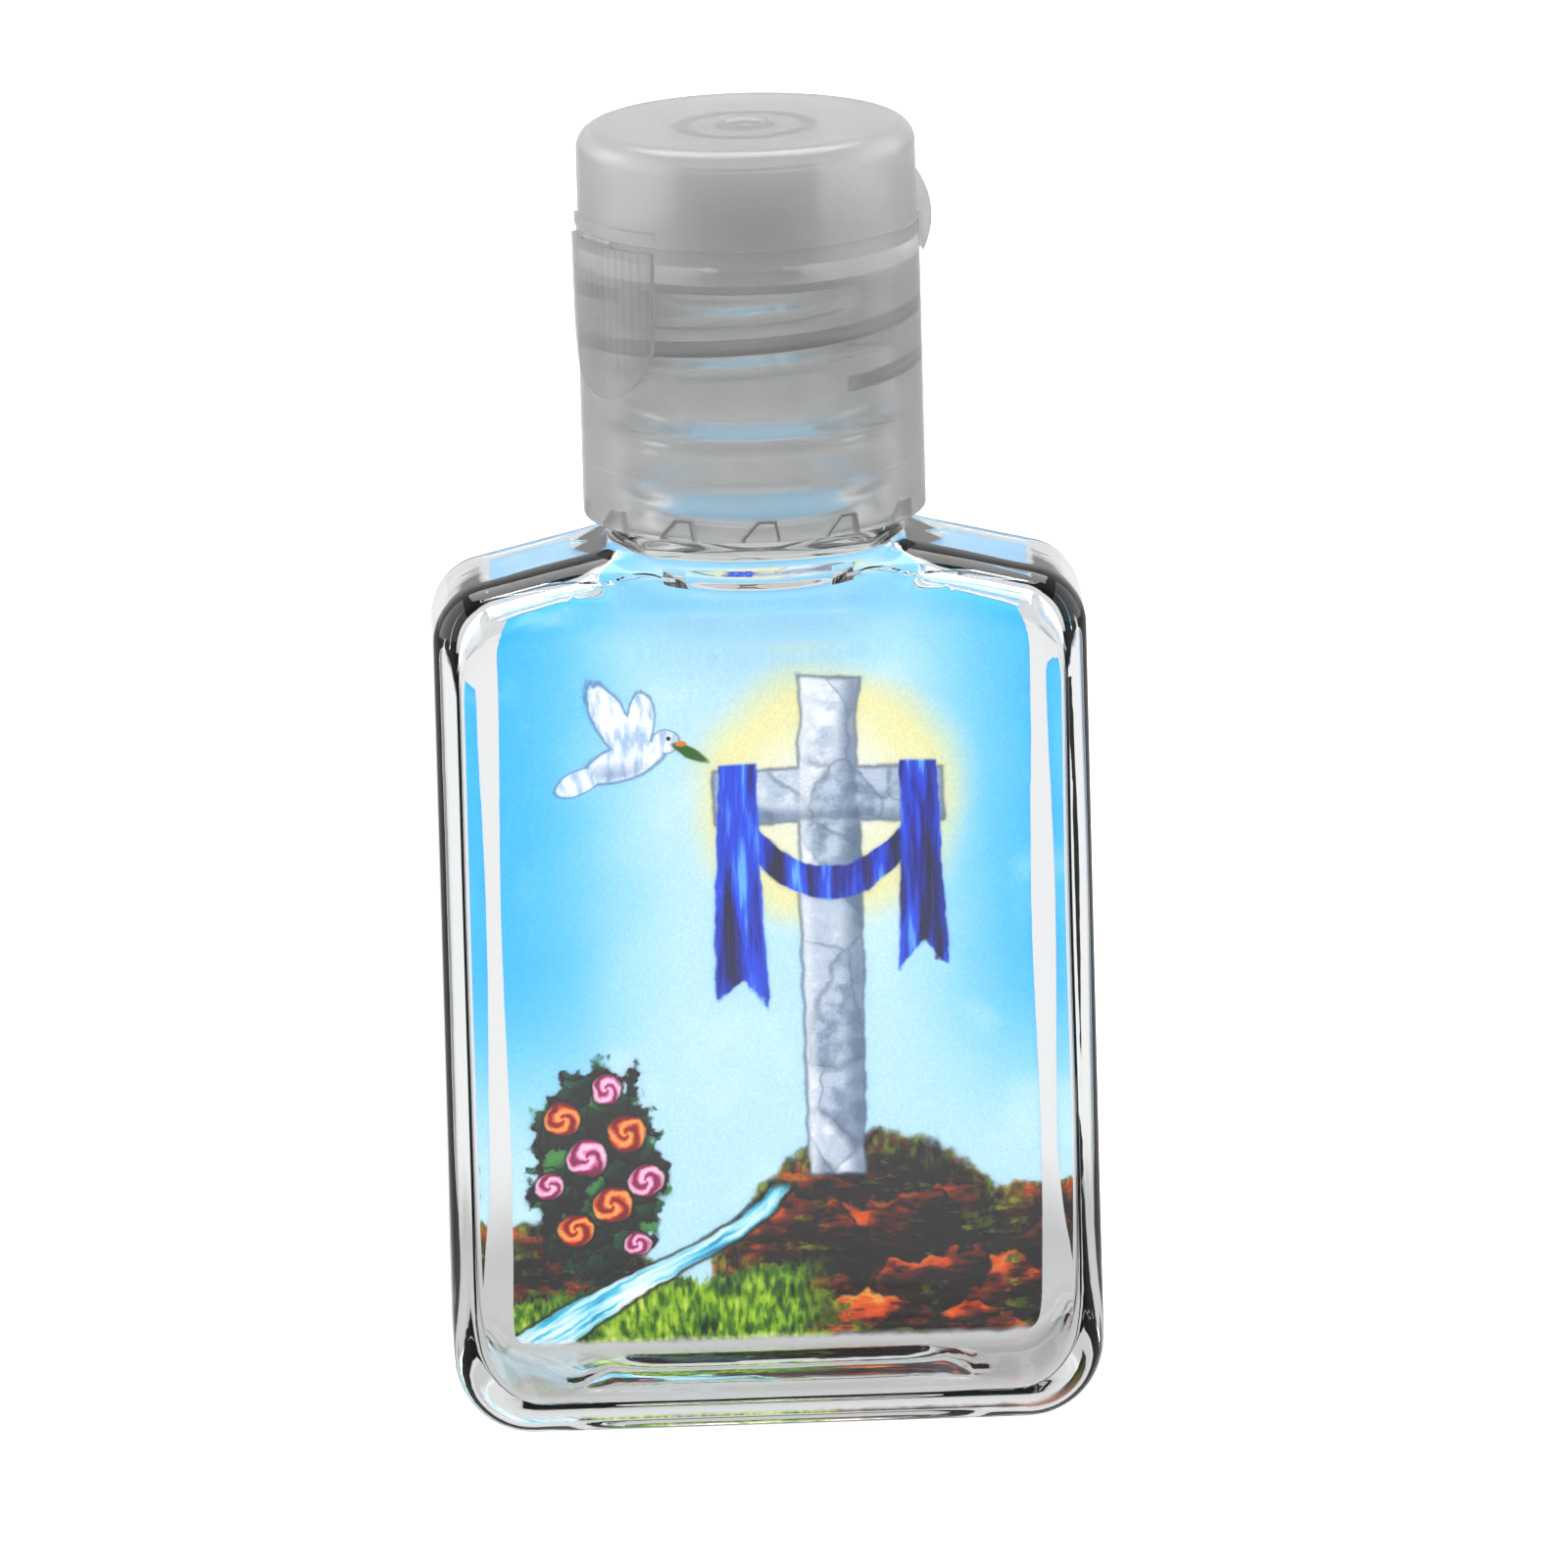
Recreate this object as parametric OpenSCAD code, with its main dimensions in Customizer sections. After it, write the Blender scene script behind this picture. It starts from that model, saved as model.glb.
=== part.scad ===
// Holy water bottle: a flat blown flask with a picture film and a flip-top screw closure.
// Millimetres. Z runs up from the standing face, -Y is the front, the film is on the back (+Y).
// Azimuths are counted from the front (-Y) towards +X.

/* [Flask] */
// Width of the flask across the front
flask_width = 40; // [36:0.5:46]
// Depth of the flask from front to back
flask_depth = 14; // [13:0.5:17]
// Height of the side walls, to the top of the shoulder corners
side_height = 53.3; // [46:0.1:60]
// Slope of the shoulders above the horizontal
shoulder_angle = 13.5; // [9:0.5:18]
// Radius of the shoulder corners, seen from the front
shoulder_radius = 3.6; // [3.2:0.1:5]
// Radius of the base corners, seen from the front
base_radius = 4.9; // [4:0.1:6]
// Radius of the upright edges and of the shoulder edges
edge_radius = 3.0; // [2.2:0.1:3.1]
// Radius of the heel along the base
heel_radius = 2.2; // [1.6:0.1:2.6]
// Wall of the blown flask
flask_wall = 0.9; // [0.6:0.05:1.1]
// Wall of the base, thicker than the sides
base_wall = 1.9; // [1.4:0.1:2.4]
// Depth of the hollow under the base
hollow_depth = 1.2; // [0.6:0.1:1.6]
// Width of the hollow under the base
hollow_width = 6.4; // [5:0.1:7]
// Flat left between the end of the hollow and the base corner
hollow_end = 1; // [0.6:0.1:2]

/* [Neck] */
// Diameter of the bead under the thread, which sets the closure's size too
bead_d = 17.9; // [16.5:0.1:20]
// Height of the bead
bead_height = 1.0; // [0.7:0.05:1.3]
// Rise of the bead above the lower edge of the closure
bead_rise = 6.05; // [5.4:0.05:6.6]
// Step from the bead in to the collar that shows under the closure
collar_step = 0.1; // [0:0.05:0.4]
// Height of the collar above the lower edge of the closure
collar_rise = 0.4; // [0.2:0.05:0.6]
// Step from the bead in to the plain neck under it
waist_step = 0.9; // [0.7:0.05:1.1]
// Step from the bead in to the root of the thread
root_step = 1.1; // [0.9:0.05:1.3]
// Wall of the neck behind the thread
neck_wall = 1.75; // [1.4:0.05:2.2]
// Rounding of the rim
rim_round = 0.3; // [0.2:0.05:0.5]
// Reach of the round foot beyond the collar, where the neck meets the shoulders
foot_reach = 0.95; // [0.8:0.05:1.2]
// Radius of the sweep from the front and back walls out to the foot
foot_sweep = 5; // [4:0.1:6]
// Radius of the foot's rounded edge
foot_lip = 0.5; // [0.4:0.05:0.6]
// Radius of the fillet between foot and collar
foot_fillet = 1.1; // [0.9:0.05:1.3]
// Drop from the shoulder's height to the top of the foot's lip
foot_drop = 0.6; // [0.5:0.05:0.7]
// How far the foot's sweep starts inside the wall
foot_sink = 0.1; // [0.05:0.05:0.2]

/* [Picture film] */
// Thickness of the film
film_thickness = 0.12; // [0.08:0.01:0.2]
// Margin between the film and the rounded edges
film_margin = 0.3; // [0.2:0.1:1.5]
// Radius of the film's corners
film_corner = 1.6; // [0.8:0.1:2.4]
// Radius of the notch in the film under the neck
film_notch = 4.4; // [4:0.1:5]

/* [Closure] */
// Height of the screw base
cap_height = 18.1; // [17:0.1:20]
// Height of the lid
lid_height = 6.05; // [5.9:0.05:7.5]
// Clear height between the shoulders and the closure
skirt_gap = 1.4; // [1:0.05:2]
// Wall of the skirt beside the thread
skirt_wall = 1.35; // [1.25:0.05:1.6]
// Wall of the skirt below the thread, where it is relieved for the bead
relief_wall = 1.05; // [0.9:0.05:1.15]
// Rise of the relieved part above the lower edge
relief_rise = 3.45; // [3:0.05:5]
// Depth of the deck below the rim of the base
deck_recess = 1.15; // [0.9:0.05:1.3]
// Thickness of the deck
deck_thickness = 1.15; // [0.9:0.05:1.4]
// Rounding of the skirt's lower edge
skirt_round = 0.3; // [0.2:0.05:0.4]

/* [Spout] */
// Diameter of the spout on the deck
spout_d = 6.2; // [5.8:0.1:6.4]
// Height of the spout above the deck
spout_height = 3.65; // [3:0.05:3.7]
// Radius of the spout's upper edge
spout_round = 0.4; // [0.3:0.05:0.5]
// Step inside the rim that the lid sits on
rim_step = 0.15; // [0.1:0.05:0.3]
// Diameter of the pouring hole
orifice_d = 3.0; // [2.6:0.1:3.2]
// Length of the straight part of the pouring hole
orifice_length = 1.2; // [0.8:0.1:1.6]
// Diameter of the hole at the underside of the deck
inlet_d = 4.4; // [4:0.1:4.8]

/* [Ratchet] */
// Number of notches round the lower rim
notch_count = 12; // [8:1:14]
// Height of a notch
notch_height = 1.3; // [0.9:0.1:1.6]
// Width of a notch at the rim
notch_width = 2.55; // [2:0.05:3]
// Width of the sloped flank of a notch
notch_slope = 1.2; // [0.8:0.1:1.3]
// Width of the steep flank of a notch
notch_steep = 0.25; // [0.1:0.05:0.4]
// Wall left outside a notch
notch_skin = 0.45; // [0.35:0.05:0.6]

/* [Lid] */
// Wall of the lid
lid_wall = 1.1; // [0.9:0.05:1.15]
// Thickness of the lid's top
lid_top = 1.3; // [1.1:0.05:1.5]
// Rounding of the lid's upper edge
lid_round = 1.4; // [1:0.1:1.9]
// How far the lid's wall stands back from the base
lid_step = 0.125; // [0.1:0.005:0.2]
// Wall of the guide ring
ring_wall = 1.1; // [0.9:0.05:1.15]
// How far the domed plug is wider than the pouring hole it closes, on each side
plug_lap = 0.4; // [0.3:0.05:0.6]
// Diameter of the gate mark in the middle of the lid
gate_d = 2.6; // [1.6:0.1:3]
// Depth of the gate mark
gate_depth = 0.2; // [0.1:0.05:0.3]

/* [Thumb tab] */
// Height of the tab
tab_height = 5.56; // [4.8:0.05:6]
// How far the tab stands out from the base
tab_reach = 0.8; // [0.65:0.05:1]
// Angle that the tab spans round the lid
tab_span = 54; // [36:2:60]
// Drop of the tab's middle below the parting line
tab_drop = 0.1; // [0:0.05:0.4]
// Gap between the tab and the base
tab_gap = 0.22; // [0.15:0.01:0.3]
// How far the tab's bow runs on inside the base's outline
tab_sink = 0.06; // [0.04:0.01:0.1]

/* [Hinge] */
// Azimuth of the hinge from the front
hinge_azimuth = -61; // [-90:1:-40]
// Width of the tongue
tongue_width = 9.3; // [7.5:0.1:10]
// Length of the tongue below the parting line
tongue_length = 9.9; // [8.5:0.1:11]
// How far the tongue stands out at its top
tongue_proud = 0.32; // [0.26:0.01:0.4]
// How far the tongue stands out at its lower end
tongue_thin = 0.2; // [0.16:0.01:0.26]
// Length of the hinge web
web_length = 3.2; // [2.4:0.1:3.6]
// How far the hinge line lies inside the middle of the tongue's top
web_inset = 0.06; // [0.04:0.01:0.08]
// Diameter of the hinge web
web_d = 0.3; // [0.24:0.02:0.32]
// Thickness of the web's rib
web_rib = 0.18; // [0.14:0.02:0.22]
// Height of the lid's lip over the hinge
lip_height = 0.7; // [0.5:0.05:1]
// How far the lid's lip stands out from the lid
lip_proud = 0.24; // [0.15:0.01:0.28]

/* [Clearances] */
// Radial gap between the bead and the thread side of the skirt
thread_gap = 0.2; // [0.15:0.05:0.4]
// Radial gap between the spout and the lid's guide ring
ring_gap = 0.3; // [0.25:0.05:0.5]
// Gap between the deck and the guide ring's end
ring_end_gap = 0.25; // [0.2:0.05:0.5]
// Gap at the parting line between lid and base
parting_gap = 0.04; // [0.02:0.01:0.06]
// Gap between the sealing washer and the deck
seal_gap = 0.02; // [0.01:0.005:0.04]
// Thickness of the sealing washer
washer_thickness = 0.6; // [0.4:0.05:0.8]
// Radial gap between the washer and the skirt
washer_gap = 0.25; // [0.15:0.05:0.4]
// How far the washer reaches into the bore
washer_lap = 1.5; // [1:0.1:2]
// Gap between the domed plug and the pouring hole
plug_gap = 0.05; // [0.03:0.01:0.08]
// Gap between the hinge web and the lid's lip
web_gap = 0.06; // [0.04:0.01:0.08]

/* [Hidden] */
$fn = 96;
hull_fn = 40;
arc_steps = 8;
eps = 0.01;
lap = 0.5;
plug_sink = 0.2;
bead_r = bead_d / 2;
collar_r = bead_r - collar_step;
waist_r = bead_r - waist_step;
root_r = bead_r - root_step;
bore_r = root_r - neck_wall;
corner_x = flask_width / 2 - shoulder_radius;
corner_z = side_height - shoulder_radius;
tangent_x = corner_x + shoulder_radius * sin(shoulder_angle);
tangent_z = corner_z + shoulder_radius * cos(shoulder_angle);
shoulder_z = tangent_z + (tangent_x - collar_r) * tan(shoulder_angle);
skirt_z = shoulder_z + skirt_gap;
parting_z = skirt_z + cap_height;
top_z = parting_z + lid_height;
deck_z = parting_z - deck_recess;
deck_under_z = deck_z - deck_thickness;
rim_z = deck_under_z - washer_thickness;
bead_z = skirt_z + bead_rise;
relief_z = skirt_z + relief_rise;
skirt_r = bead_r + thread_gap;
cap_r = skirt_r + skirt_wall;
lid_r = cap_r - lid_step;
lid_z = parting_z + parting_gap;
ceiling_z = top_z - lid_top;
relief_r = cap_r - relief_wall;
lip_x = collar_r + foot_reach - foot_lip;
lip_z = shoulder_z - foot_drop - foot_lip;
sweep_x = flask_depth / 2 - foot_sink + foot_sweep;
sweep_z = lip_z - sqrt(pow(foot_sweep + foot_lip, 2) - pow(sweep_x - lip_x, 2));
fillet_x = collar_r + foot_fillet;
fillet_z = lip_z + sqrt(pow(foot_fillet + foot_lip, 2) - pow(fillet_x - lip_x, 2));
film_x = flask_width / 2 - edge_radius - film_margin;
film_low = heel_radius + film_margin;
film_top_x = collar_r - film_margin;
film_high = shoulder_z - (edge_radius + film_margin) / cos(shoulder_angle);
film_side = corner_z + film_margin;
hinge_r = cap_r + tongue_proud / 2 - web_inset;
ring_r = spout_d / 2 + ring_gap;
tongue_top = parting_z - web_d;
plug_r = orifice_d / 2 + plug_lap;
plug_seat = orifice_d / 2 - plug_gap;
plug_z = deck_z + spout_height + sqrt(plug_r * plug_r - plug_seat * plug_seat);
tab_r = cap_r + tab_reach;
tab_bulge = tab_reach + tab_sink;
tab_arc = (tab_height * tab_height / 4 + tab_bulge * tab_bulge) / (2 * tab_bulge);

// Points along an arc about (x, z), for the profiles
function arc_points(x, z, r, from, to) =
  [for (i = [0 : arc_steps]) let (a = from + (to - from) * i / arc_steps) [x + r * cos(a), z + r * sin(a)]];

// Turns what is built at the front to an azimuth
module at_azimuth(a) {
  rotate([0, 0, a])
    children();
}

// Revolves a half profile over an angle that is centred on the front
module front_sector(span) {
  rotate([0, 0, -90 - span / 2])
    rotate_extrude(angle = span)
      children();
}

// Rounded corner of the flask, a ring about Y that a hull stretches over the walls
module corner_ring(reach, tube) {
  rotate([90, 0, 0])
    rotate_extrude($fn = hull_fn)
      intersection() {
        translate([reach - tube, 0])
          circle(r = tube, $fn = hull_fn);
        translate([0, -tube])
          square([reach, 2 * tube]);
      }
}

// The corners of one quarter of the flask: base corner, shoulder corner and the end of the slope
module quarter_corners(inset, lift) {
  heel = heel_radius - inset;
  edge = edge_radius - inset;
  translate([flask_width / 2 - base_radius, flask_depth / 2 - heel_radius, base_radius + lift])
    corner_ring(base_radius - inset, heel);
  translate([corner_x, flask_depth / 2 - edge_radius, corner_z])
    corner_ring(shoulder_radius - inset, edge);
  translate([collar_r - edge_radius * sin(shoulder_angle), flask_depth / 2 - edge_radius,
             shoulder_z - edge_radius * cos(shoulder_angle)])
    sphere(r = edge, $fn = hull_fn);
}

// The flask's body as one smooth solid, brought in by a wall and with its floor lifted
module flask_body(inset = 0, lift = 0) {
  hull()
    for (sx = [0, 1])
      for (sy = [0, 1])
        mirror([sx, 0, 0])
          mirror([0, sy, 0])
            quarter_corners(inset, lift);
}

// Long dished hollow under the base; grow makes the matching dome on the inner floor
module base_hollow(grow = 0) {
  dish_r = (hollow_width * hollow_width / 4 + hollow_depth * hollow_depth) / (2 * hollow_depth);
  reach = flask_width / 2 - base_radius - hollow_width / 2 - hollow_end;
  translate([0, 0, hollow_depth - dish_r]) {
    rotate([0, 90, 0])
      cylinder(r = dish_r + grow, h = 2 * reach, center = true);
    for (s = [-1, 1])
      translate([s * reach, 0, 0])
        sphere(r = dish_r + grow);
  }
}

// Half profile of the neck: sweep out from the walls, lip, fillet, collar, waist, bead and thread root
module neck_profile() {
  half_bead = bead_height / 2;
  collar_top = skirt_z + collar_rise;
  sweep_angle = atan2(lip_z - sweep_z, lip_x - sweep_x);
  fillet_angle = atan2(fillet_z - lip_z, fillet_x - lip_x);
  polygon(concat(
    [[0, sweep_z]],
    arc_points(sweep_x, sweep_z, foot_sweep, 180, sweep_angle),
    arc_points(lip_x, lip_z, foot_lip, sweep_angle - 180, fillet_angle),
    arc_points(fillet_x, fillet_z, foot_fillet, fillet_angle + 180, 180),
    [[collar_r, collar_top], [waist_r, collar_top + collar_r - waist_r], [waist_r, bead_z - half_bead]],
    arc_points(bead_r - half_bead, bead_z, half_bead, -90, 90),
    [[root_r, bead_z + half_bead]],
    arc_points(root_r - rim_round, rim_z - rim_round, rim_round, 0, 90),
    [[0, rim_z]]));
}

// Half profile of the space in the neck: a wall inside the sweep, a funnel and the bore
module neck_space() {
  sweep = foot_sweep + flask_wall;
  funnel_z = fillet_z + flask_wall;
  polygon(concat(
    [[0, sweep_z]],
    arc_points(sweep_x, sweep_z, sweep, 180, 180 - asin((lip_z - sweep_z) / sweep)),
    [[bore_r, funnel_z], [bore_r, rim_z + 1], [0, rim_z + 1]]));
}

// Blown flask with its neck, open through the bore
module bottle() {
  color([0.86, 0.93, 0.97, 0.35])
    difference() {
      union() {
        flask_body();
        rotate_extrude()
          neck_profile();
      }
      difference() {
        flask_body(flask_wall, base_wall - flask_wall);
        base_hollow(base_wall);
      }
      rotate_extrude()
        neck_space();
      base_hollow();
    }
}

// Outline of the film: rounded lower corners, a top that follows the shoulders and a notch for the neck
module film_outline() {
  translate([-film_x + film_corner, film_low])
    square([2 * (film_x - film_corner), film_corner]);
  for (s = [-1, 1])
    translate([s * (film_x - film_corner), film_low + film_corner])
      circle(r = film_corner);
  difference() {
    polygon([[-film_x, film_low + film_corner], [film_x, film_low + film_corner], [film_x, film_side],
             [film_top_x, film_high], [-film_top_x, film_high], [-film_x, film_side]]);
    translate([0, sweep_z - film_margin + film_notch])
      circle(r = film_notch);
  }
}

// Printed film on the outside of the back wall
module picture_film() {
  color([0.45, 0.75, 0.95])
    translate([0, flask_depth / 2 + film_thickness, 0])
      rotate([90, 0, 0])
        linear_extrude(film_thickness)
          film_outline();
}

// Flat washer that seals the rim against the deck
module sealing_washer() {
  color([0.93, 0.93, 0.9])
    translate([0, 0, rim_z])
      difference() {
        cylinder(r = skirt_r - washer_gap, h = washer_thickness - seal_gap);
        translate([0, 0, -1])
          cylinder(r = bore_r - washer_lap, h = washer_thickness + 2);
      }
}

// Half profile of the screw base: skirt, deck and spout, with the hole left out
module cap_profile() {
  translate([relief_r, skirt_z + skirt_round])
    square([relief_wall, relief_rise - skirt_round]);
  translate([relief_r, skirt_z])
    square([relief_wall - skirt_round, relief_rise]);
  translate([cap_r - skirt_round, skirt_z + skirt_round])
    circle(r = skirt_round);
  translate([skirt_r, relief_z])
    square([skirt_wall, deck_z - relief_z]);
  translate([skirt_r + rim_step, deck_under_z])
    square([skirt_wall - rim_step, parting_z - deck_under_z]);
  translate([0, deck_under_z])
    square([skirt_r + skirt_wall / 2, deck_thickness]);
  translate([0, deck_under_z])
    square([spout_d / 2, deck_thickness + spout_height - spout_round]);
  translate([0, deck_under_z])
    square([spout_d / 2 - spout_round, deck_thickness + spout_height]);
  translate([spout_d / 2 - spout_round, deck_z + spout_height - spout_round])
    circle(r = spout_round);
}

// Outline of a ratchet notch, with its sloped flank on the left and its steep one on the right
module notch_outline() {
  half = notch_width / 2;
  polygon([[-half, -1], [-half, 0], [notch_slope - half, notch_height],
           [half - notch_steep, notch_height], [half, 0], [half, -1]]);
}

// Screw base with deck, spout and the ratchet notches inside its lower rim
module cap_base() {
  spout_z = deck_z + spout_height;
  notch_depth = relief_wall - notch_skin;
  color([0.82, 0.82, 0.82])
    difference() {
      rotate_extrude()
        cap_profile();
      translate([0, 0, deck_under_z - 1])
        cylinder(d = orifice_d, h = spout_z - deck_under_z + 2);
      translate([0, 0, deck_under_z - eps])
        cylinder(d1 = inlet_d, d2 = orifice_d, h = spout_z - orifice_length - deck_under_z);
      for (i = [0 : notch_count - 1])
        at_azimuth(i * 360 / notch_count)
          translate([0, -relief_r + lap, skirt_z])
            rotate([90, 0, 0])
              linear_extrude(notch_depth + lap)
                notch_outline();
    }
}

// Outline of the tongue, a U that hangs from the hinge
module tongue_outline() {
  half = tongue_width / 2;
  low = parting_z - tongue_length;
  intersection() {
    translate([-half, low])
      square([tongue_width, tongue_top - low]);
    union() {
      translate([-half, low + half])
        square([tongue_width, tongue_length]);
      translate([0, low + half])
        circle(r = half);
    }
  }
}

// Raised tongue of the hinge on the outside of the screw base
module hinge_tongue() {
  low = parting_z - tongue_length;
  color([0.86, 0.86, 0.86])
    at_azimuth(hinge_azimuth)
      intersection() {
        difference() {
          translate([0, 0, low])
            cylinder(r1 = cap_r + tongue_thin, r2 = cap_r + tongue_proud, h = tongue_length);
          translate([0, 0, low - 1])
            cylinder(r = cap_r, h = tongue_length + 2);
        }
        rotate([90, 0, 0])
          linear_extrude(cap_r + 2)
            tongue_outline();
      }
}

// Web of the hinge: a thin bar on the hinge line with a rib down to the tongue
module hinge_web() {
  color([0.9, 0.9, 0.9])
    at_azimuth(hinge_azimuth)
      translate([0, -hinge_r, parting_z]) {
        rotate([0, 90, 0])
          cylinder(d = web_d, h = web_length, center = true, $fn = 32);
        translate([-web_length / 2, -web_rib / 2, -web_d])
          cube([web_length, web_rib, web_d]);
      }
}

// Half profile of the lid's shell
module lid_profile() {
  inner_r = lid_r - lid_wall;
  translate([inner_r, lid_z])
    square([lid_wall, top_z - lid_round - lid_z]);
  translate([0, ceiling_z])
    square([lid_r - lid_round, lid_top]);
  intersection() {
    translate([lid_r - lid_round, top_z - lid_round])
      circle(r = lid_round);
    translate([lid_r - lid_round - eps, top_z - lid_round - eps])
      square(lid_round + 1);
  }
  translate([inner_r - lap, top_z - max(lid_top, lid_round) - eps])
    square([lid_r - lid_round - inner_r + lap + eps, max(lid_top, lid_round)]);
  translate([ring_r, deck_z + ring_end_gap])
    square([ring_wall, ceiling_z - deck_z]);
}

// Half profile of the thumb tab, a shallow bow that hangs over the base
module tab_profile() {
  difference() {
    translate([tab_r - tab_arc, parting_z - tab_drop])
      circle(r = tab_arc);
    translate([0, 0])
      square([cap_r + tab_gap, lid_z]);
    translate([0, lid_z - eps])
      square([lid_r - lid_wall / 2, tab_height + tab_arc]);
    translate([0, 0])
      square([tab_r + 1, parting_z - tab_drop - tab_height / 2]);
  }
}

// Flip-up lid with its guide ring, domed plug, thumb tab and hinge lip
module flip_lid() {
  lip_z = parting_z + web_d / 2 + web_gap;
  lip_span = 2 * asin(tongue_width / 2 / cap_r);
  color([0.85, 0.85, 0.85]) {
    difference() {
      union() {
        rotate_extrude()
          lid_profile();
        translate([0, 0, plug_z])
          cylinder(r = plug_r, h = ceiling_z - plug_z + plug_sink);
        translate([0, 0, plug_z])
          sphere(r = plug_r);
        at_azimuth(hinge_azimuth + 180)
          front_sector(tab_span)
            tab_profile();
        at_azimuth(hinge_azimuth)
          front_sector(lip_span)
            translate([lid_r - lid_wall / 2, lip_z])
              square([lid_wall / 2 + lip_proud, lip_height]);
      }
      translate([0, 0, top_z - gate_depth])
        difference() {
          cylinder(d = gate_d, h = 1);
          cylinder(d = gate_d / 3, h = gate_depth);
        }
    }
  }
}

bottle();
picture_film();
sealing_washer();
cap_base();
hinge_tongue();
hinge_web();
flip_lid();
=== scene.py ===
"""Looks of the holy water bottle.

It has a clear blown flask, a printed film on the flask's back and a milky flip-top closure. Every mesh is
written in millimetres in the frame of the CAD model and scaled to metres as it is made.
"""

from __future__ import annotations

import logging
import math
from dataclasses import dataclass, field
from enum import Enum
from functools import reduce

import bpy
import numpy as np
from mathutils import Matrix, Vector

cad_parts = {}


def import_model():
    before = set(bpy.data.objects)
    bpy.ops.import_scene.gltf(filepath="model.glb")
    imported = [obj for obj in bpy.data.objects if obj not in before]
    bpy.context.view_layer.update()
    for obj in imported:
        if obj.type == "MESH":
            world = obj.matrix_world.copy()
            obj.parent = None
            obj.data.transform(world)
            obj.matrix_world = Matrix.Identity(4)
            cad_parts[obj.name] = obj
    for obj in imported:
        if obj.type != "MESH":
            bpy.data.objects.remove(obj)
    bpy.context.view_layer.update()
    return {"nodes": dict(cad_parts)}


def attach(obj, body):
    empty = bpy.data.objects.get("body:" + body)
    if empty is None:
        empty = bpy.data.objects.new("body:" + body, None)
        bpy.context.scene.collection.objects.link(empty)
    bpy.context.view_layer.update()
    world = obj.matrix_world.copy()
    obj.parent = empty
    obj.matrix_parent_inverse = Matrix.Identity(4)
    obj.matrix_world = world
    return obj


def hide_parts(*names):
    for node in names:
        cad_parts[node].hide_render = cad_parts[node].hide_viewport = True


MM = 0.001
TURN = 2.0 * math.pi
LOG = logging.getLogger("holy_water_bottle")

Pair = tuple[float, float]
Triple = tuple[float, float, float]
Colour = tuple[float, float, float]
Faces = list[list[int]]
Socket = bpy.types.NodeSocket
Finish = bpy.types.Material
Piece = bpy.types.Object


class Slot(Enum):
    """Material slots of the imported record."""

    CLEAR = "clear_plastic"
    PRINT = "printed_film"
    MILKY = "milky_plastic"


class Body(Enum):
    """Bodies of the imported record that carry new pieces."""

    FLASK = "flask"
    CLOSURE = "closure"


def smoothstep(low: float, high: float, value: np.ndarray | float) -> np.ndarray:
    """Eased step.

    Args:
        low: value at which the step starts.
        high: value at which the step ends.
        value: where the step is taken.

    Returns:
        Numbers from 0 to 1.
    """
    t = np.clip((value - low) / (high - low), 0.0, 1.0)
    return t * t * (3.0 - 2.0 * t)


def rounded_meet(a: np.ndarray, b: np.ndarray, radius: np.ndarray | float) -> np.ndarray:
    """Distance to the space inside both of two sides, whose edge is rounded.

    Args:
        a: distance to the first side.
        b: distance to the second side.
        radius: radius of the edge.

    Returns:
        Distances, negative inside.
    """
    reach = np.hypot(np.maximum(a + radius, 0.0), np.maximum(b + radius, 0.0))
    return np.minimum(np.maximum(a, b), -radius) + reach


def soft_join(a: np.ndarray, b: np.ndarray, width: np.ndarray | float) -> np.ndarray:
    """Distance to two forms that flow into each other.

    Args:
        a: distance to the first form.
        b: distance to the second form.
        width: how widely they blend.

    Returns:
        Distances, negative inside.
    """
    h = np.maximum(width - np.abs(a - b), 0.0) / width
    return np.minimum(a, b) - h * h * width / 4.0


def half_chord(radius: float, off: np.ndarray) -> np.ndarray:
    """Half width of a circle at distances from its middle, 0 outside it."""
    return np.sqrt(np.maximum(radius**2 - off**2, 0.0))


def spaced(*spans: Triple) -> np.ndarray:
    """Numbers of several spans, each with its start, end and step."""
    return np.concatenate([np.arange(*span) for span in spans])


def shares(count: int) -> np.ndarray:
    """Even shares of a way, of which the last is 1."""
    return np.linspace(0.0, 1.0, count + 1)[1:]


def at_height(plan: np.ndarray, z: np.ndarray | float) -> np.ndarray:
    """Points of a plan lifted to a height."""
    return np.column_stack([plan, np.full(len(plan), z)])


def ring_at(radius: np.ndarray | float, angles: np.ndarray, z: float) -> np.ndarray:
    """Ring of points about the upright axis, at given azimuths and a height."""
    return at_height(np.column_stack([radius * np.cos(angles), radius * np.sin(angles)]), z)


def wrap(rows: int, count: int, first: int = 0) -> Faces:
    """Faces between loops of points that follow each other.

    Args:
        rows: number of loops.
        count: points in each loop.
        first: number of the first point.

    Returns:
        Faces of four corners, closed around.
    """
    faces = []
    for low in range(first, first + (rows - 1) * count, count):
        for i in range(count):
            j = (i + 1) % count
            faces.append([low + i, low + j, low + count + j, low + count + i])
    return faces


def rod(rows: int, count: int, first: int = 0) -> Faces:
    """Faces of a closed rod.

    Args:
        rows: number of loops.
        count: points in each loop.
        first: number of the first point.

    Returns:
        The faces around it and one at each end.
    """
    last = first + (rows - 1) * count
    ends = [list(range(first, first + count))[::-1], list(range(last, last + count))]
    return wrap(rows, count, first) + ends


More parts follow.
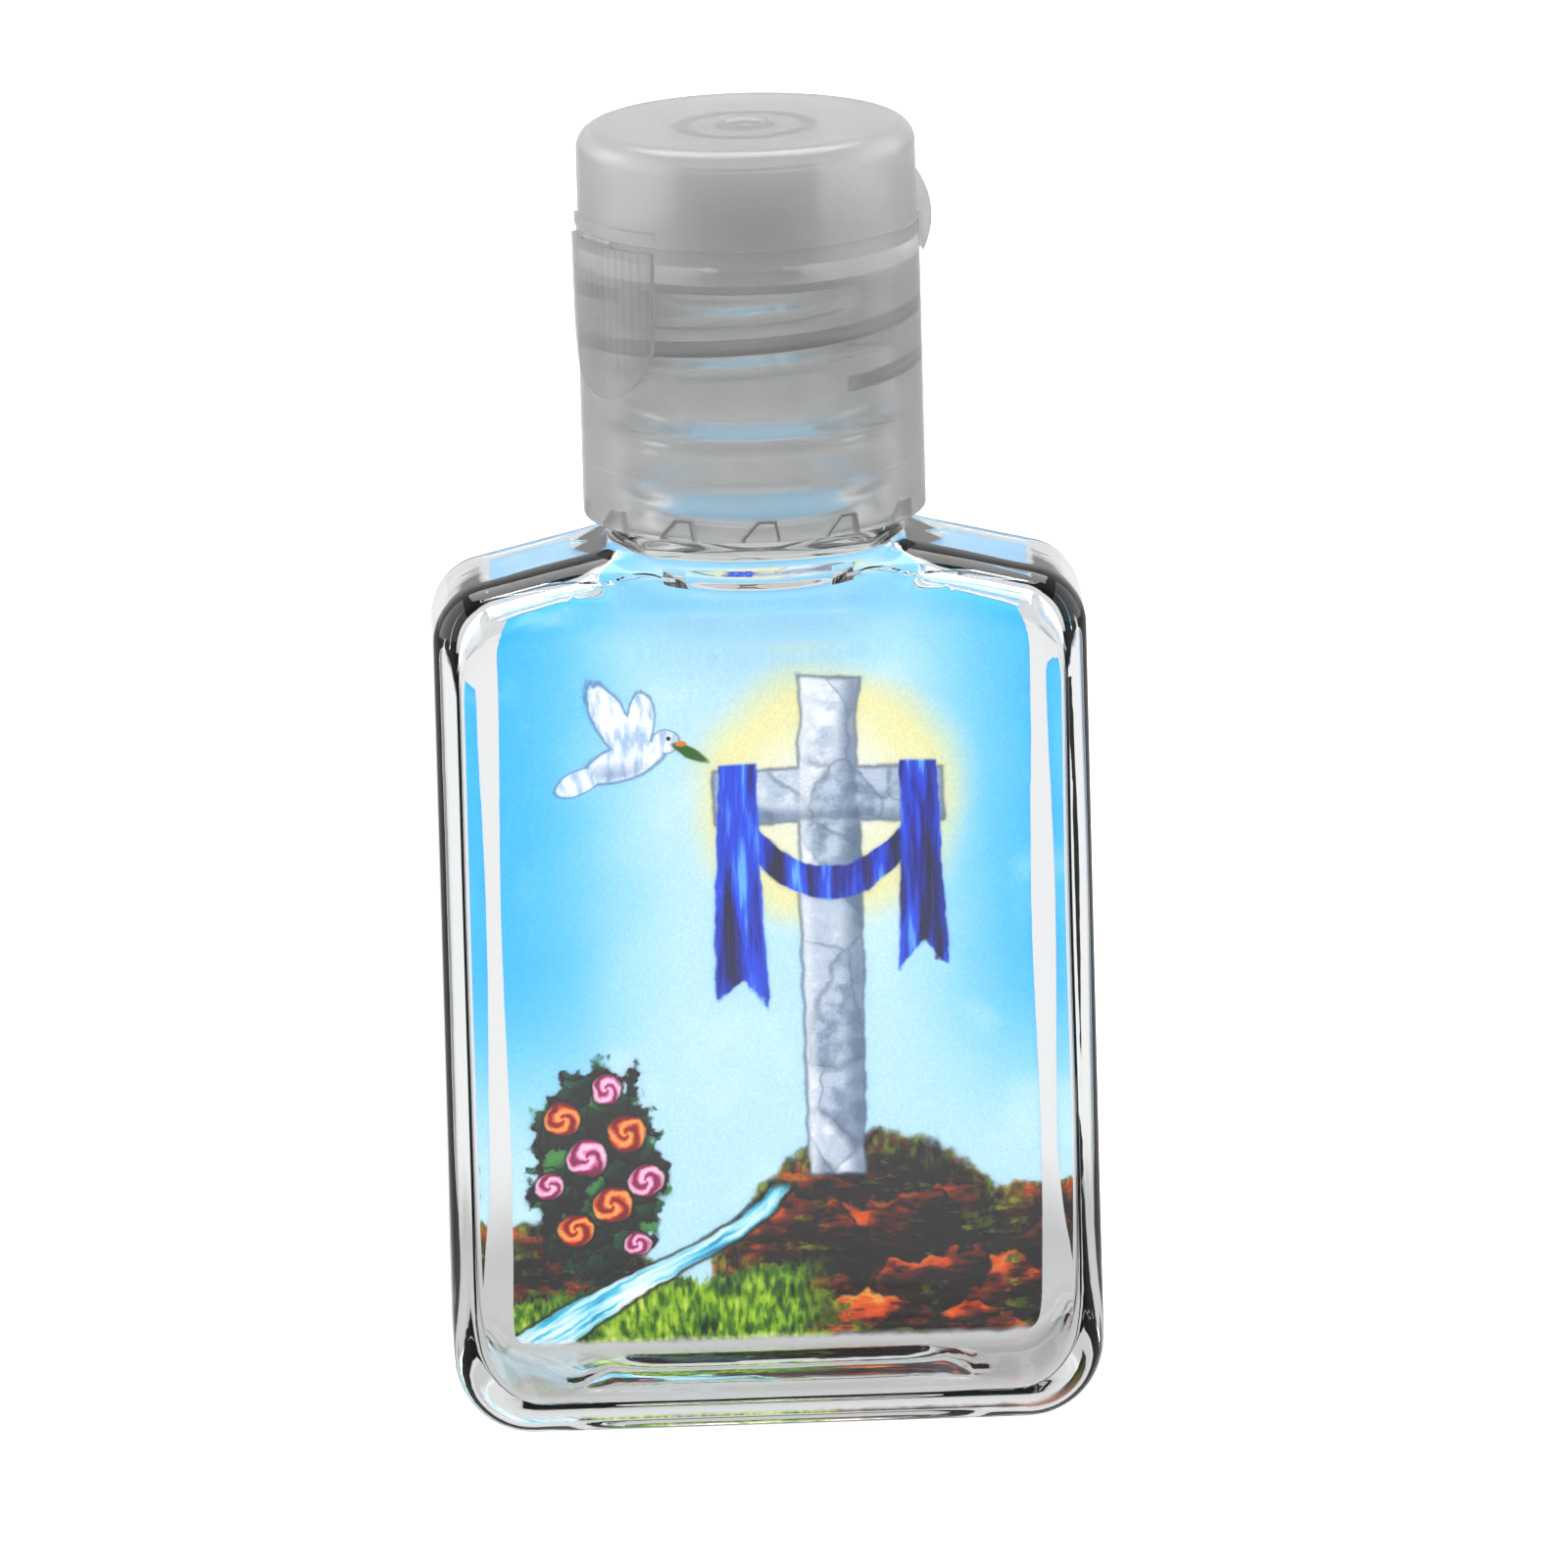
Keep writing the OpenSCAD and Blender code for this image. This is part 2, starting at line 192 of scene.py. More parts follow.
def make_piece(name: str, points: np.ndarray, faces: Faces, finish: Finish) -> Piece:
    """Makes a smooth mesh object.

    Args:
        name: name of the piece.
        points: corners in millimetres.
        faces: corner numbers of each face.
        finish: material of the piece.

    Returns:
        The new object, linked to the scene.
    """
    mesh = bpy.data.meshes.new(name)
    mesh.from_pydata((np.asarray(points) * MM).tolist(), [], faces)
    mesh.validate()
    mesh.polygons.foreach_set("use_smooth", [True] * len(mesh.polygons))
    mesh.materials.append(finish)
    mesh.update()
    piece = bpy.data.objects.new(name, mesh)
    bpy.context.scene.collection.objects.link(piece)
    LOG.info("made %s with %d faces", name, len(mesh.polygons))
    return piece


def settle(piece: Piece, body: Body, slot: Slot, *nodes: str) -> None:
    """Rides a piece on its body and hides the CAD nodes that it stands for.

    Args:
        piece: the new piece.
        body: body that carries it.
        slot: not used.
        nodes: CAD nodes that it replaces.
    """
    if nodes:
        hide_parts(*nodes)
    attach(piece, body.value)


class Graph:
    """A material's node tree, with short calls to add nodes and link them."""

    def __init__(self, name: str) -> None:
        """Starts an empty tree with its output.

        Args:
            name: name of the material.
        """
        self.material = bpy.data.materials.new(name)
        self.material.use_nodes = True
        self.tree = self.material.node_tree
        self.tree.nodes.clear()
        self.out = self.tree.nodes.new("ShaderNodeOutputMaterial")

    def add(self, kind: str, settings: dict | None = None, **inputs: object) -> bpy.types.Node:
        """Adds a node.

        Args:
            kind: node type without its ShaderNode prefix.
            settings: node properties.
            inputs: sockets by name, with _ for a space; a socket is linked and a value is set.

        Returns:
            The node.
        """
        node = self.tree.nodes.new("ShaderNode" + kind)
        for key, value in (settings or {}).items():
            setattr(node, key, value)
        for key, value in inputs.items():
            self.join(value, node.inputs[key.replace("_", " ")])
        return node

    def join(self, value: object, socket: Socket) -> None:
        """Links a socket to another, or sets its value.

        Args:
            value: a socket, a field, a number or a colour.
            socket: the socket that takes it.
        """
        if isinstance(value, Field):
            value = value.socket
        if isinstance(value, Socket):
            self.tree.links.new(value, socket)
        elif isinstance(value, tuple) and len(value) == 3 and socket.type == "RGBA":
            socket.default_value = (*value, 1.0)
        else:
            socket.default_value = value

    def mix(self, share: object, first: Socket, second: Socket) -> Socket:
        """Mixes two shaders.

        Args:
            share: how much of the second shows.
            first: first shader.
            second: second shader.

        Returns:
            The mixed shader.
        """
        node = self.tree.nodes.new("ShaderNodeMixShader")
        self.join(share, node.inputs[0])
        self.join(first, node.inputs[1])
        self.join(second, node.inputs[2])
        return node.outputs[0]

    def blend(self, share: object, first: object, second: object, kind: str = "MIX") -> Socket:
        """Mixes two colours.

        Args:
            share: how much of the second shows.
            first: first colour.
            second: second colour.
            kind: how the second is laid over the first.

        Returns:
            The mixed colour.
        """
        node = self.tree.nodes.new("ShaderNodeMix")
        node.data_type, node.blend_type = "RGBA", kind
        self.join(share, node.inputs[0])
        self.join(first, node.inputs[6])
        self.join(second, node.inputs[7])
        return node.outputs[2]

    def noise(self, scale: float, detail: float = 3.0, vector: object = None,
              stretch: Triple = (1.0, 1.0, 1.0)) -> Field:
        """Soft noise over a surface.

        Args:
            scale: features per millimetre.
            detail: how many finer layers it has.
            vector: coordinates, the object's own if none are given.
            stretch: factors along X, Y and Z.

        Returns:
            Numbers from 0 to 1.
        """
        place = vector or self.add("TexCoord").outputs["Object"]
        mapped = self.add("Mapping", Vector=place, Scale=tuple(s / MM for s in stretch))
        node = self.add("TexNoise", Vector=mapped.outputs[0], Scale=scale, Detail=detail)
        return Field(self, node.outputs[0])

    def bump(self, height: Field, strength: float, depth: float) -> Socket:
        """Normal of a surface that is uneven by a height, with its depth in metres."""
        return self.add("Bump", Strength=strength, Distance=depth, Height=height).outputs[0]

    def pass_lamps(self, shader: Socket, shadow: Colour) -> Socket:
        """Lets lamps through a shader.

        Args:
            shader: how the surface looks.
            shadow: tint of the light that has passed.

        Returns:
            The shader with its own shadow.
        """
        clear = self.add("BsdfTransparent", Color=shadow)
        path = self.add("LightPath")
        return self.mix(path.outputs["Is Shadow Ray"], shader, clear.outputs[0])

    def finish(self, shader: Socket) -> Finish:
        """Links the shader to the output and returns the material."""
        self.tree.links.new(shader, self.out.inputs["Surface"])
        return self.material


class Field:
    """A number that varies over a surface, with arithmetic written as nodes."""

    def __init__(self, graph: Graph, socket: Socket) -> None:
        """Wraps a node socket."""
        self.graph = graph
        self.socket = socket

    def _math(self, operation: str, *others: object) -> Field:
        """Adds a Math node.

        Args:
            operation: what it works out.
            others: numbers after this one.

        Returns:
            The result.
        """
        node = self.graph.add("Math", {"operation": operation})
        for socket, value in zip(node.inputs, (self, *others)):
            self.graph.join(value, socket)
        return Field(self.graph, node.outputs[0])

    def __add__(self, other: object) -> Field:
        """Sum."""
        return self._math("ADD", other)

    def __radd__(self, other: object) -> Field:
        """Sum."""
        return self._math("ADD", other)

    def __sub__(self, other: object) -> Field:
        """Difference."""
        return self._math("SUBTRACT", other)

    def __rsub__(self, other: float) -> Field:
        """Difference from a number."""
        return self._math("MULTIPLY_ADD", -1.0, other)

    def __mul__(self, other: object) -> Field:
        """Product."""
        return self._math("MULTIPLY", other)

    def __truediv__(self, other: object) -> Field:
        """Quotient."""
        return self._math("DIVIDE", other)

    def __abs__(self) -> Field:
        """Size without its sign."""
        return self._math("ABSOLUTE")

    def least(self, other: object) -> Field:
        """The smaller of two."""
        return self._math("MINIMUM", other)

    def most(self, other: object) -> Field:
        """The larger of two."""
        return self._math("MAXIMUM", other)

    def sine(self) -> Field:
        """Sine."""
        return self._math("SINE")

    def angle(self, other: object) -> Field:
        """Angle of the direction whose sine side is this and whose cosine side is the other."""
        return self._math("ARCTAN2", other)

    def root(self) -> Field:
        """Square root."""
        return self._math("SQRT")

    def step(self, low: float, high: float) -> Field:
        """Eased step, which falls where low is above high.

        Args:
            low: number at which the step is 0.
            high: number at which the step is 1.

        Returns:
            Numbers from 0 to 1.
        """
        node = self.graph.add("MapRange", {"interpolation_type": "SMOOTHSTEP"})
        first, last = (0.0, 1.0) if low < high else (1.0, 0.0)
        for socket, value in zip(node.inputs, (self, min(low, high), max(low, high), first, last)):
            self.graph.join(value, socket)
        return Field(self.graph, node.outputs[0])


@dataclass(frozen=True)
class ClearPlastic:
    """Clear blown PET of the flask."""

    colour: Colour = (0.985, 0.992, 0.995)
    ior: float = 1.575
    roughness: float = 0.012
    mirror: Colour = (0.5, 0.5, 0.5)
    ripple_scale: float = 0.22
    ripple_strength: float = 0.05
    ripple_depth: float = 0.0002
    shadow: Colour = (0.9, 0.92, 0.93)
    name: str = "clear_blown_plastic"

    def material(self) -> Finish:
        """Makes the finish: clear plastic with a faint ripple, which lets lamps through.

        Returns:
            The finish of the flask.
        """
        g = Graph(self.name)
        ripple = g.bump(g.noise(self.ripple_scale, 2.0), self.ripple_strength, self.ripple_depth)
        shell = g.add("BsdfPrincipled", Base_Color=self.colour, Roughness=self.roughness, IOR=self.ior,
                      Transmission_Weight=1.0, Specular_Tint=self.mirror, Normal=ripple)
        return g.finish(g.pass_lamps(shell.outputs[0], self.shadow))


@dataclass(frozen=True)
class MilkyPlastic:
    """Natural, uncoloured polypropylene of the closure."""

    name: str
    colour: Colour = (0.6, 0.6, 0.595)
    clearness: float = 0.71
    roughness: float = 0.21
    haze: Colour = (0.9, 0.9, 0.895)
    ior: float = 1.49
    skin_roughness: float = 0.28
    glow_share: float = 0.5
    cloud_scale: float = 0.35
    cloud_tones: Pair = (0.93, 1.05)
    grain_scale: float = 2.5
    grain_strength: float = 0.02
    grain_depth: float = 0.00004
    shadow: Colour = (0.62, 0.62, 0.62)

    def material(self) -> Finish:
        """Makes the finish: a cloudy body that passes part of the light, with a soft moulded grain.

        Returns:
            The finish of a piece of the closure.
        """
        g = Graph(self.name)
        grain = g.bump(g.noise(self.grain_scale, 2.0), self.grain_strength, self.grain_depth)
        dark, pale = (tuple(min(1.0, c * share) for c in self.colour) for share in self.cloud_tones)
        tone = g.blend(g.noise(self.cloud_scale), dark, pale)
        clear = g.add("BsdfPrincipled", Base_Color=self.haze, Roughness=self.roughness, IOR=self.ior,
                      Transmission_Weight=1.0, Normal=grain)
        solid = g.add("BsdfPrincipled", Base_Color=tone, Roughness=self.skin_roughness, IOR=self.ior,
                      Normal=grain)
        through = g.add("BsdfTranslucent", Color=tone)
        body = g.mix(self.glow_share, solid.outputs[0], through.outputs[0])
        look = g.mix(self.clearness, body, clear.outputs[0])
        return g.finish(g.pass_lamps(look, self.shadow))


@dataclass(frozen=True)
class WasherFoam:
    """White closed-cell foam of the sealing washer."""

    dark: Colour = (0.78, 0.78, 0.76)
    pale: Colour = (0.9, 0.9, 0.88)
    roughness: float = 0.85
    cell_scale: float = 4.0
    cell_strength: float = 0.3
    cell_depth: float = 0.0001
    name: str = "white_foam"

    def material(self) -> Finish:
        """Makes the finish: matt white foam with fine cells.

        Returns:
            The finish of the washer.
        """
        g = Graph(self.name)
        cells = g.noise(self.cell_scale, 2.0)
        bump = g.bump(cells, self.cell_strength, self.cell_depth)
        tone = g.blend(cells, self.dark, self.pale)
        foam = g.add("BsdfPrincipled", Base_Color=tone, Roughness=self.roughness, Normal=bump)
        return g.finish(foam.outputs[0])


class FilmPrint:
    """The film's own printed picture: a plain stone cross by a spring, a dove and a flowering bush.

    Places and sizes are in millimetres across and up the film. A group of colours runs from dark to pale.
    """

    CROSS = (4.2, 37.0)
    CROSS_FOOT = 13.0
    DOVE = (-8.2, 39.5)
    DOVE_SIZE = 2.6
    BUSH = (-10.6, 13.5)

    PALE_SKY = (0.7, 0.88, 0.96)
    SIDE_SKY = (0.17, 0.69, 1.0)
    TOP_SKY = (0.22, 0.72, 1.0)
    CLOUD = (0.86, 0.95, 0.99)
    GLOW = (0.93, 0.9, 0.62)
    GLOW_HEART = (0.93, 0.95, 0.92)
    STONE = ((0.42, 0.5, 0.6), (0.7, 0.76, 0.83), (0.96, 0.97, 0.98))
    STONE_LINE = (0.16, 0.22, 0.33)
    STONE_CRACK = (0.2, 0.26, 0.36)
    STONE_SHADE = (0.22, 0.3, 0.42)
    STONE_LIGHT = (0.99, 0.99, 1.0)
    RIBBON = ((0.002, 0.012, 0.16), (0.006, 0.06, 0.5), (0.02, 0.2, 0.85), (0.35, 0.66, 0.98))
    FEATHERS = ((0.62, 0.74, 0.88), (0.97, 0.98, 1.0))
    DOVE_LINE = (0.24, 0.38, 0.56)
    DOVE_SHADE = (0.36, 0.48, 0.66)
    TWIG = (0.08, 0.28, 0.03)
    BEAK = (0.9, 0.4, 0.05)
    EYE = (0.02, 0.02, 0.03)
    ROCK = ((0.012, 0.004, 0.002), (0.09, 0.02, 0.005), (0.33, 0.075, 0.01), (0.85, 0.25, 0.03),
            (0.93, 0.58, 0.2))
    ROCK_GAP = (0.01, 0.004, 0.002)
    MOSS = ((0.05, 0.07, 0.004), (0.2, 0.26, 0.015), (0.55, 0.62, 0.08))
    GRASS = ((0.03, 0.085, 0.004), (0.16, 0.33, 0.015), (0.5, 0.68, 0.07), (0.86, 0.88, 0.36))
    WATER = ((0.02, 0.25, 0.42), (0.16, 0.68, 0.86), (0.72, 0.93, 0.98), (0.98, 1.0, 1.0))
    SPRING_BANK = (0.02, 0.03, 0.012)
    LEAVES = ((0.001, 0.008, 0.012), (0.004, 0.06, 0.05), (0.02, 0.2, 0.1), (0.2, 0.5, 0.2))
    LEAF_GAP = (0.001, 0.006, 0.01)
    ORANGE = ((0.4, 0.02, 0.004), (0.95, 0.2, 0.02), (1.0, 0.66, 0.3))
    PINK = ((0.45, 0.04, 0.2), (0.93, 0.36, 0.62), (1.0, 0.82, 0.92))
    PRINT_DOTS = (0.62, 0.66, 0.7)

    # Ellipses of the bank: middle across and up, half width and half height.
    BANKS = ((6.5, 0.0, 11.5, 15.5), (15.0, 0.0, 7.0, 12.0), (-13.5, 0.0, 9.0, 10.5))

    # Ellipses of the dove in shares of its size, the body first: middle, half sizes and tilt in degrees.
    DOVE_PARTS = ((0.0, 0.0, 1.0, 0.42, 20.0), (0.95, 0.48, 0.32, 0.28, 0.0), (-1.15, -0.5, 0.62, 0.28, 25.0),
                  (-0.25, 0.95, 0.42, 1.1, 28.0), (0.35, 0.85, 0.34, 0.9, -12.0))

    # Flowers of the bush: place from its middle, radius and colours.
    FLOWERS = ((-2.1, 3.5, 1.2, ORANGE), (0.7, 5.3, 1.0, PINK), (1.9, 2.4, 1.25, ORANGE),
               (-0.6, 0.9, 1.3, PINK), (-3.1, -0.8, 0.95, PINK), (0.9, -2.1, 1.2, ORANGE),
               (3.0, -0.6, 1.05, PINK), (-1.5, -3.7, 1.15, ORANGE), (2.3, -4.6, 0.85, PINK))

    def __init__(self, name: str = "printed_scene") -> None:
        """Opens the tree and reads places across and up the film in millimetres.

        Args:
            name: name of the material.
        """
        self.graph = Graph(name)
        split = self.graph.add("SeparateXYZ", Vector=self.graph.add("TexCoord").outputs["Object"])
        self.x = Field(self.graph, split.outputs[0]) * (1.0 / MM)
        self.z = Field(self.graph, split.outputs[2]) * (1.0 / MM)
        self.wobble = self.graph.noise(0.9, 4.0) - 0.5
        self.sway = self.graph.noise(0.23) - 0.5
        self.colour: object = self.PALE_SKY

    def over(self, mask: Field, colour: object) -> None:
        """Lays a colour over the picture where the mask says."""
        self.colour = self.graph.blend(mask, self.colour, colour)

    def disc(self, x: float, z: float, wide: float, high: float, tilt: float = 0.0) -> Field:
        """How far a point lies out in an ellipse, 1 at its rim.

        Args:
            x: middle across.
            z: middle up.
            wide: half width.
            high: half height.
            tilt: turn in degrees, anticlockwise.

        Returns:
            The share of the way to the rim.
        """
        c, s = math.cos(math.radians(tilt)), math.sin(math.radians(tilt))
        across, up = self.x - x, self.z - z
        a = (across * c + up * s) * (1.0 / wide)
        b = (up * c - across * s) * (1.0 / high)
        return (a * a + b * b).root()

    def bar(self, x: float, z: float, wide: float, high: float) -> Field:
        """Mask of an upright bar with slightly uneven edges.

        Args:
            x: middle across.
            z: middle up.
            wide: half width.
            high: half height.

        Returns:
            Numbers from 0 outside to 1 inside.
        """
        soft, uneven = 0.15, 0.5
        edge = self.wobble * uneven
        across = (abs(self.x - x) + edge).step(wide + soft, wide - soft)
        return across * (abs(self.z - z) + edge).step(high + soft, high - soft)

    def ramp(self, value: Field, colours: tuple[Colour, ...], *steps: Pair) -> object:
        """Colours a number by steps.

        Args:
            value: the number.
            colours: the first colour, and the colour after each step.
            steps: where each step starts and ends.

        Returns:
            The colour.
        """
        colour: object = colours[0]
        for (low, high), tint in zip(steps, colours[1:]):
            colour = self.graph.blend(value.step(low, high), colour, tint)
        return colour

    def cells(self, scale: float, squat: float, bend: float) -> tuple[Field, Field, Field]:
        """Uneven patches such as boulders or leaves, lit from the upper left.

        Args:
            scale: patches per metre.
            squat: how much wider than high they are.
            bend: how far noise bends their edges, in metres.

        Returns:
            A chance number of each patch, its light from -1 to 1, and the distance to its edge.
        """
        finer, from_above, from_left = 2.2, 1.6, 1.1
        g = self.graph
        place = g.add("TexCoord").outputs["Object"]
        stir = g.add("TexNoise", Scale=scale * finer, Detail=3.0, Vector=place)
        bent = g.add("VectorMath", {"operation": "MULTIPLY_ADD"})
        for socket, value in zip(bent.inputs, (stir.outputs["Color"], (bend, bend, bend), place)):
            g.join(value, socket)
        mapped = g.add("Mapping", Vector=bent.outputs[0], Scale=(1.0, 0.0, squat)).outputs[0]
        patch = g.add("TexVoronoi", Scale=scale, Vector=mapped)
        edge = g.add("TexVoronoi", {"feature": "DISTANCE_TO_EDGE"}, Scale=scale, Vector=mapped)
        off = g.add("VectorMath", {"operation": "SUBTRACT"})
        g.join(mapped, off.inputs[0])
        g.join(patch.outputs["Position"], off.inputs[1])
        part = g.add("SeparateXYZ", Vector=off.outputs[0])
        right, up = Field(g, part.outputs[0]), Field(g, part.outputs[2])
        light = up * (from_above * scale) - right * (from_left * scale)
        chance = g.add("SeparateColor", Color=patch.outputs["Color"])
        return Field(g, chance.outputs[0]), light, Field(g, edge.outputs[0])

    def paint_sky(self) -> None:
        """Pale middle with saturated blue towards both sides."""
        side = abs(self.x - 1.0 + self.sway * 3.0)
        self.over(side.step(6.0, 17.5) * self.z.step(13.0, 27.0), self.SIDE_SKY)
        self.over(self.z.step(43.0, 53.0) * 0.4, self.TOP_SKY)
        self.over((self.sway + 0.5).step(0.52, 0.75) * 0.35, self.CLOUD)

    def paint_glow(self) -> None:
        """Pale yellow glow around the head of the cross."""
        radius = 8.6
        out = self.disc(*self.CROSS, radius, radius) + self.sway * 0.2
        self.over(out.step(1.15, 0.75), self.GLOW)
        self.over(out.step(0.85, 0.2) * 0.8, self.GLOW_HEART)

    def paint_cross(self) -> None:
        """Plain cross of worn stone with a royal blue ribbon over its arms."""
        x, z = self.CROSS
        half, reach, thick, top, rim = 1.75, 7.0, 1.6, 8.0, 0.16
        middle, tall = (z + top + self.CROSS_FOOT) / 2.0, (z + top - self.CROSS_FOOT) / 2.0
        post, arms = self.bar(x, middle, half, tall), self.bar(x, z, reach, thick)
        stone = post.most(arms)
        line = self.bar(x, middle, half + rim, tall + rim).most(self.bar(x, z, reach + rim, thick + rim))
        self.over(line * 0.85, self.STONE_LINE)
        chance, light, edge = self.cells(230.0, 0.7, 0.0016)
        tone = self.wobble * 1.1 + light * 0.1 + chance * 0.35 + 0.3
        self.over(stone, self.ramp(tone, self.STONE, (0.2, 0.5), (0.55, 0.85)))
        self.over(stone * edge.step(0.035, 0.0) * 0.4, self.STONE_CRACK)
        across = self.x - x + self.wobble * 1.2
        self.over(across.step(0.4, 1.5) * post * 0.55, self.STONE_SHADE)
        self.over(across.step(-0.9, -1.5) * post * 0.5, self.STONE_LIGHT)
        self.over((self.z - z + self.wobble).step(-0.5, -1.4) * arms * 0.5, self.STONE_SHADE)
        self.paint_ribbon()

    def paint_ribbon(self) -> None:
        """Ribbon that hangs in a bow between the arms, with two long tails."""
        x, z = self.CROSS
        hang, soft, left_tail, right_tail = 5.6, 0.15, (-5.6, 1.3, 12.0), (5.6, 1.25, 9.8)
        folds = self.graph.noise(1.5, stretch=(1.0, 1.0, 0.1))
        cloth = self.ramp(folds, self.RIBBON, (0.34, 0.46), (0.47, 0.56), (0.6, 0.7))
        off = self.x - x
        sag = off * off * 0.13 + (z - hang)
        shape = abs(self.z - sag + self.wobble * 0.6).step(1.15, 0.95) * abs(off).step(6.0, 5.8)
        flare = 1.0 + (z - self.z).step(0.0, 12.0) * 0.35
        below = (self.z - z).step(2.2, 2.0)
        for side, half, length in (left_tail, right_tail):
            out = abs(off - side + self.wobble * 0.5) / flare
            end = self.z - (z - length) + out * 1.2 + self.wobble * 2.2
            shape = shape.most(out.step(half, half - soft) * end.step(0.0, 0.4) * below)
        self.over(shape, cloth)

    def on_dove(self, across: float, up: float, wide: float, high: float, tilt: float = 0.0) -> Field:
        """Ellipse on the dove.

        Args:
            across: place from the dove's middle, in shares of its size.
            up: place from the dove's middle, in shares of its size.
            wide: half width, in shares of its size.
            high: half height, in shares of its size.
            tilt: turn in degrees, anticlockwise.

        Returns:
            The share of the way to the rim.
        """
        (x, z), size = self.DOVE, self.DOVE_SIZE
        return self.disc(x + across * size, z + up * size, wide * size, high * size, tilt)

    def paint_dove(self) -> None:
        """White dove in flight, with feathered wings, soft grey-blue shadows and a green twig."""
        height, size = self.z - self.DOVE[1], self.DOVE_SIZE
        shapes = [self.on_dove(*part) for part in self.DOVE_PARTS]
        feathers = self.graph.noise(2.0, 2.0, stretch=(1.0, 1.0, 0.3))
        ruffle = (feathers - 0.5) * 0.5 * height.step(0.2 * size, 1.2 * size)
        form = reduce(Field.least, shapes) + self.wobble * 0.25 + ruffle
        self.over(form.step(1.14, 1.0) * 0.75, self.DOVE_LINE)
        self.over(form.step(1.0, 0.88), self.ramp(feathers, self.FEATHERS, (0.36, 0.54)))
        low = (height + self.wobble).step(0.2 * size, -0.5 * size)
        self.over(shapes[0].step(1.0, 0.6) * low * 0.65, self.DOVE_SHADE)
        twig = self.on_dove(1.5, 0.2, 0.5, 0.13, -30.0) + self.wobble * 0.8
        self.over(twig.step(1.1, 0.8), self.TWIG)
        self.over(self.on_dove(1.3, 0.42, 0.14, 0.07).step(1.1, 0.8), self.BEAK)
        self.over(self.on_dove(1.02, 0.55, 0.05, 0.05).step(1.2, 0.8), self.EYE)

    def paint_ground(self) -> None:
        """Rocky bank in browns and oranges with moss, grass and a spring that runs out to the left."""
        rise = reduce(Field.least, [self.disc(*bank) for bank in self.BANKS]) + self.wobble * 0.14
        chance, light, edge = self.cells(200.0, 1.7, 0.0045)
        strokes = self.graph.noise(1.5, 5.0, stretch=(0.45, 1.0, 1.2))
        shade = light * 0.42 + chance * 0.62 + (strokes - 0.5) * 1.5
        rock = self.ramp(shade, self.ROCK, (-0.1, 0.22), (0.2, 0.45), (0.45, 0.7), (0.75, 1.0))
        self.over(rise.step(1.03, 0.98), rock)
        self.over(rise.step(1.0, 0.95) * edge.step(0.07, 0.0) * 0.85, self.ROCK_GAP)
        fringe = rise.step(0.86, 1.0) * rise.step(1.03, 0.98)
        tufts = self.graph.noise(2.2, 4.0, stretch=(1.0, 1.0, 0.55))
        green = self.ramp(tufts, self.MOSS, (0.35, 0.5), (0.52, 0.66))
        moss = (strokes + self.sway * 1.1).step(0.55, 0.64) * rise.step(0.98, 0.9)
        self.over((fringe * tufts.step(0.4, 0.55)).most(moss) * 0.9, green)
        self.paint_lawn()
        self.paint_spring()

    def paint_lawn(self) -> None:
        """Grass in blades, left of the cross."""
        blades = self.graph.noise(3.0, 4.0, stretch=(1.0, 1.0, 0.3))
        tone = blades * 0.7 + self.graph.noise(0.5, 2.0) * 0.3
        grass = self.ramp(tone, self.GRASS, (0.36, 0.46), (0.46, 0.56), (0.56, 0.68))
        lawn = self.z - (self.x + 6.0) * 0.12 + (blades - 0.5) * 3.2 + self.wobble * 1.2
        self.over(lawn.step(6.7, 6.2) * self.x.step(4.5, 1.0), grass)

    def paint_spring(self) -> None:
        """Water that falls from under the cross and runs out to the left, in streaks along its way."""
        drop = self.CROSS_FOOT - self.z
        course = (drop * 0.62).sine() * 0.9 - drop * 1.05 - drop * drop * 0.035 + 0.9
        off = self.x - course + self.wobble * 0.9
        beyond = abs(off) - (drop * 0.16 + 0.4)
        along = self.graph.add("CombineXYZ", X=off * 0.0016, Y=0.0, Z=drop * 0.00035)
        streaks = self.graph.noise(1.0, 4.0, vector=along.outputs[0])
        water = self.ramp(streaks, self.WATER, (0.3, 0.42), (0.42, 0.52), (0.52, 0.6))
        self.over(beyond.step(0.55, 0.2) * drop.step(0.2, 0.9) * 0.8, self.SPRING_BANK)
        self.over(beyond.step(0.15, -0.15) * drop.step(0.4, 1.1), water)

    def paint_bush(self) -> None:
        """Rose bush with dark leaves and orange and pink flowers."""
        x, z = self.BUSH
        spread = self.disc(x, z, 4.3, 7.0) + self.wobble * 0.9
        chance, light, edge = self.cells(750.0, 1.0, 0.0012)
        tone = light * 0.3 + chance * 0.8
        self.over(spread.step(1.02, 0.94), self.ramp(tone, self.LEAVES, (0.1, 0.4), (0.4, 0.7), (0.75, 1.0)))
        self.over(spread.step(1.0, 0.9) * edge.step(0.09, 0.0) * 0.7, self.LEAF_GAP)
        for across, up, size, tints in self.FLOWERS:
            bloom = self.disc(x + across, z + up, size, size * 0.92, 20.0) + self.wobble * 0.6
            turn = (self.z - z - up).angle(self.x - x - across)
            petals = (bloom * 8.5 + turn * 2.0 + self.wobble * 5.0).sine() * 0.5 + 0.5 - bloom * 0.25
            self.over(bloom.step(1.25, 1.05) * 0.7, self.LEAF_GAP)
            self.over(bloom.step(1.05, 0.92), self.ramp(petals, tints, (0.0, 0.3), (0.4, 0.75)))

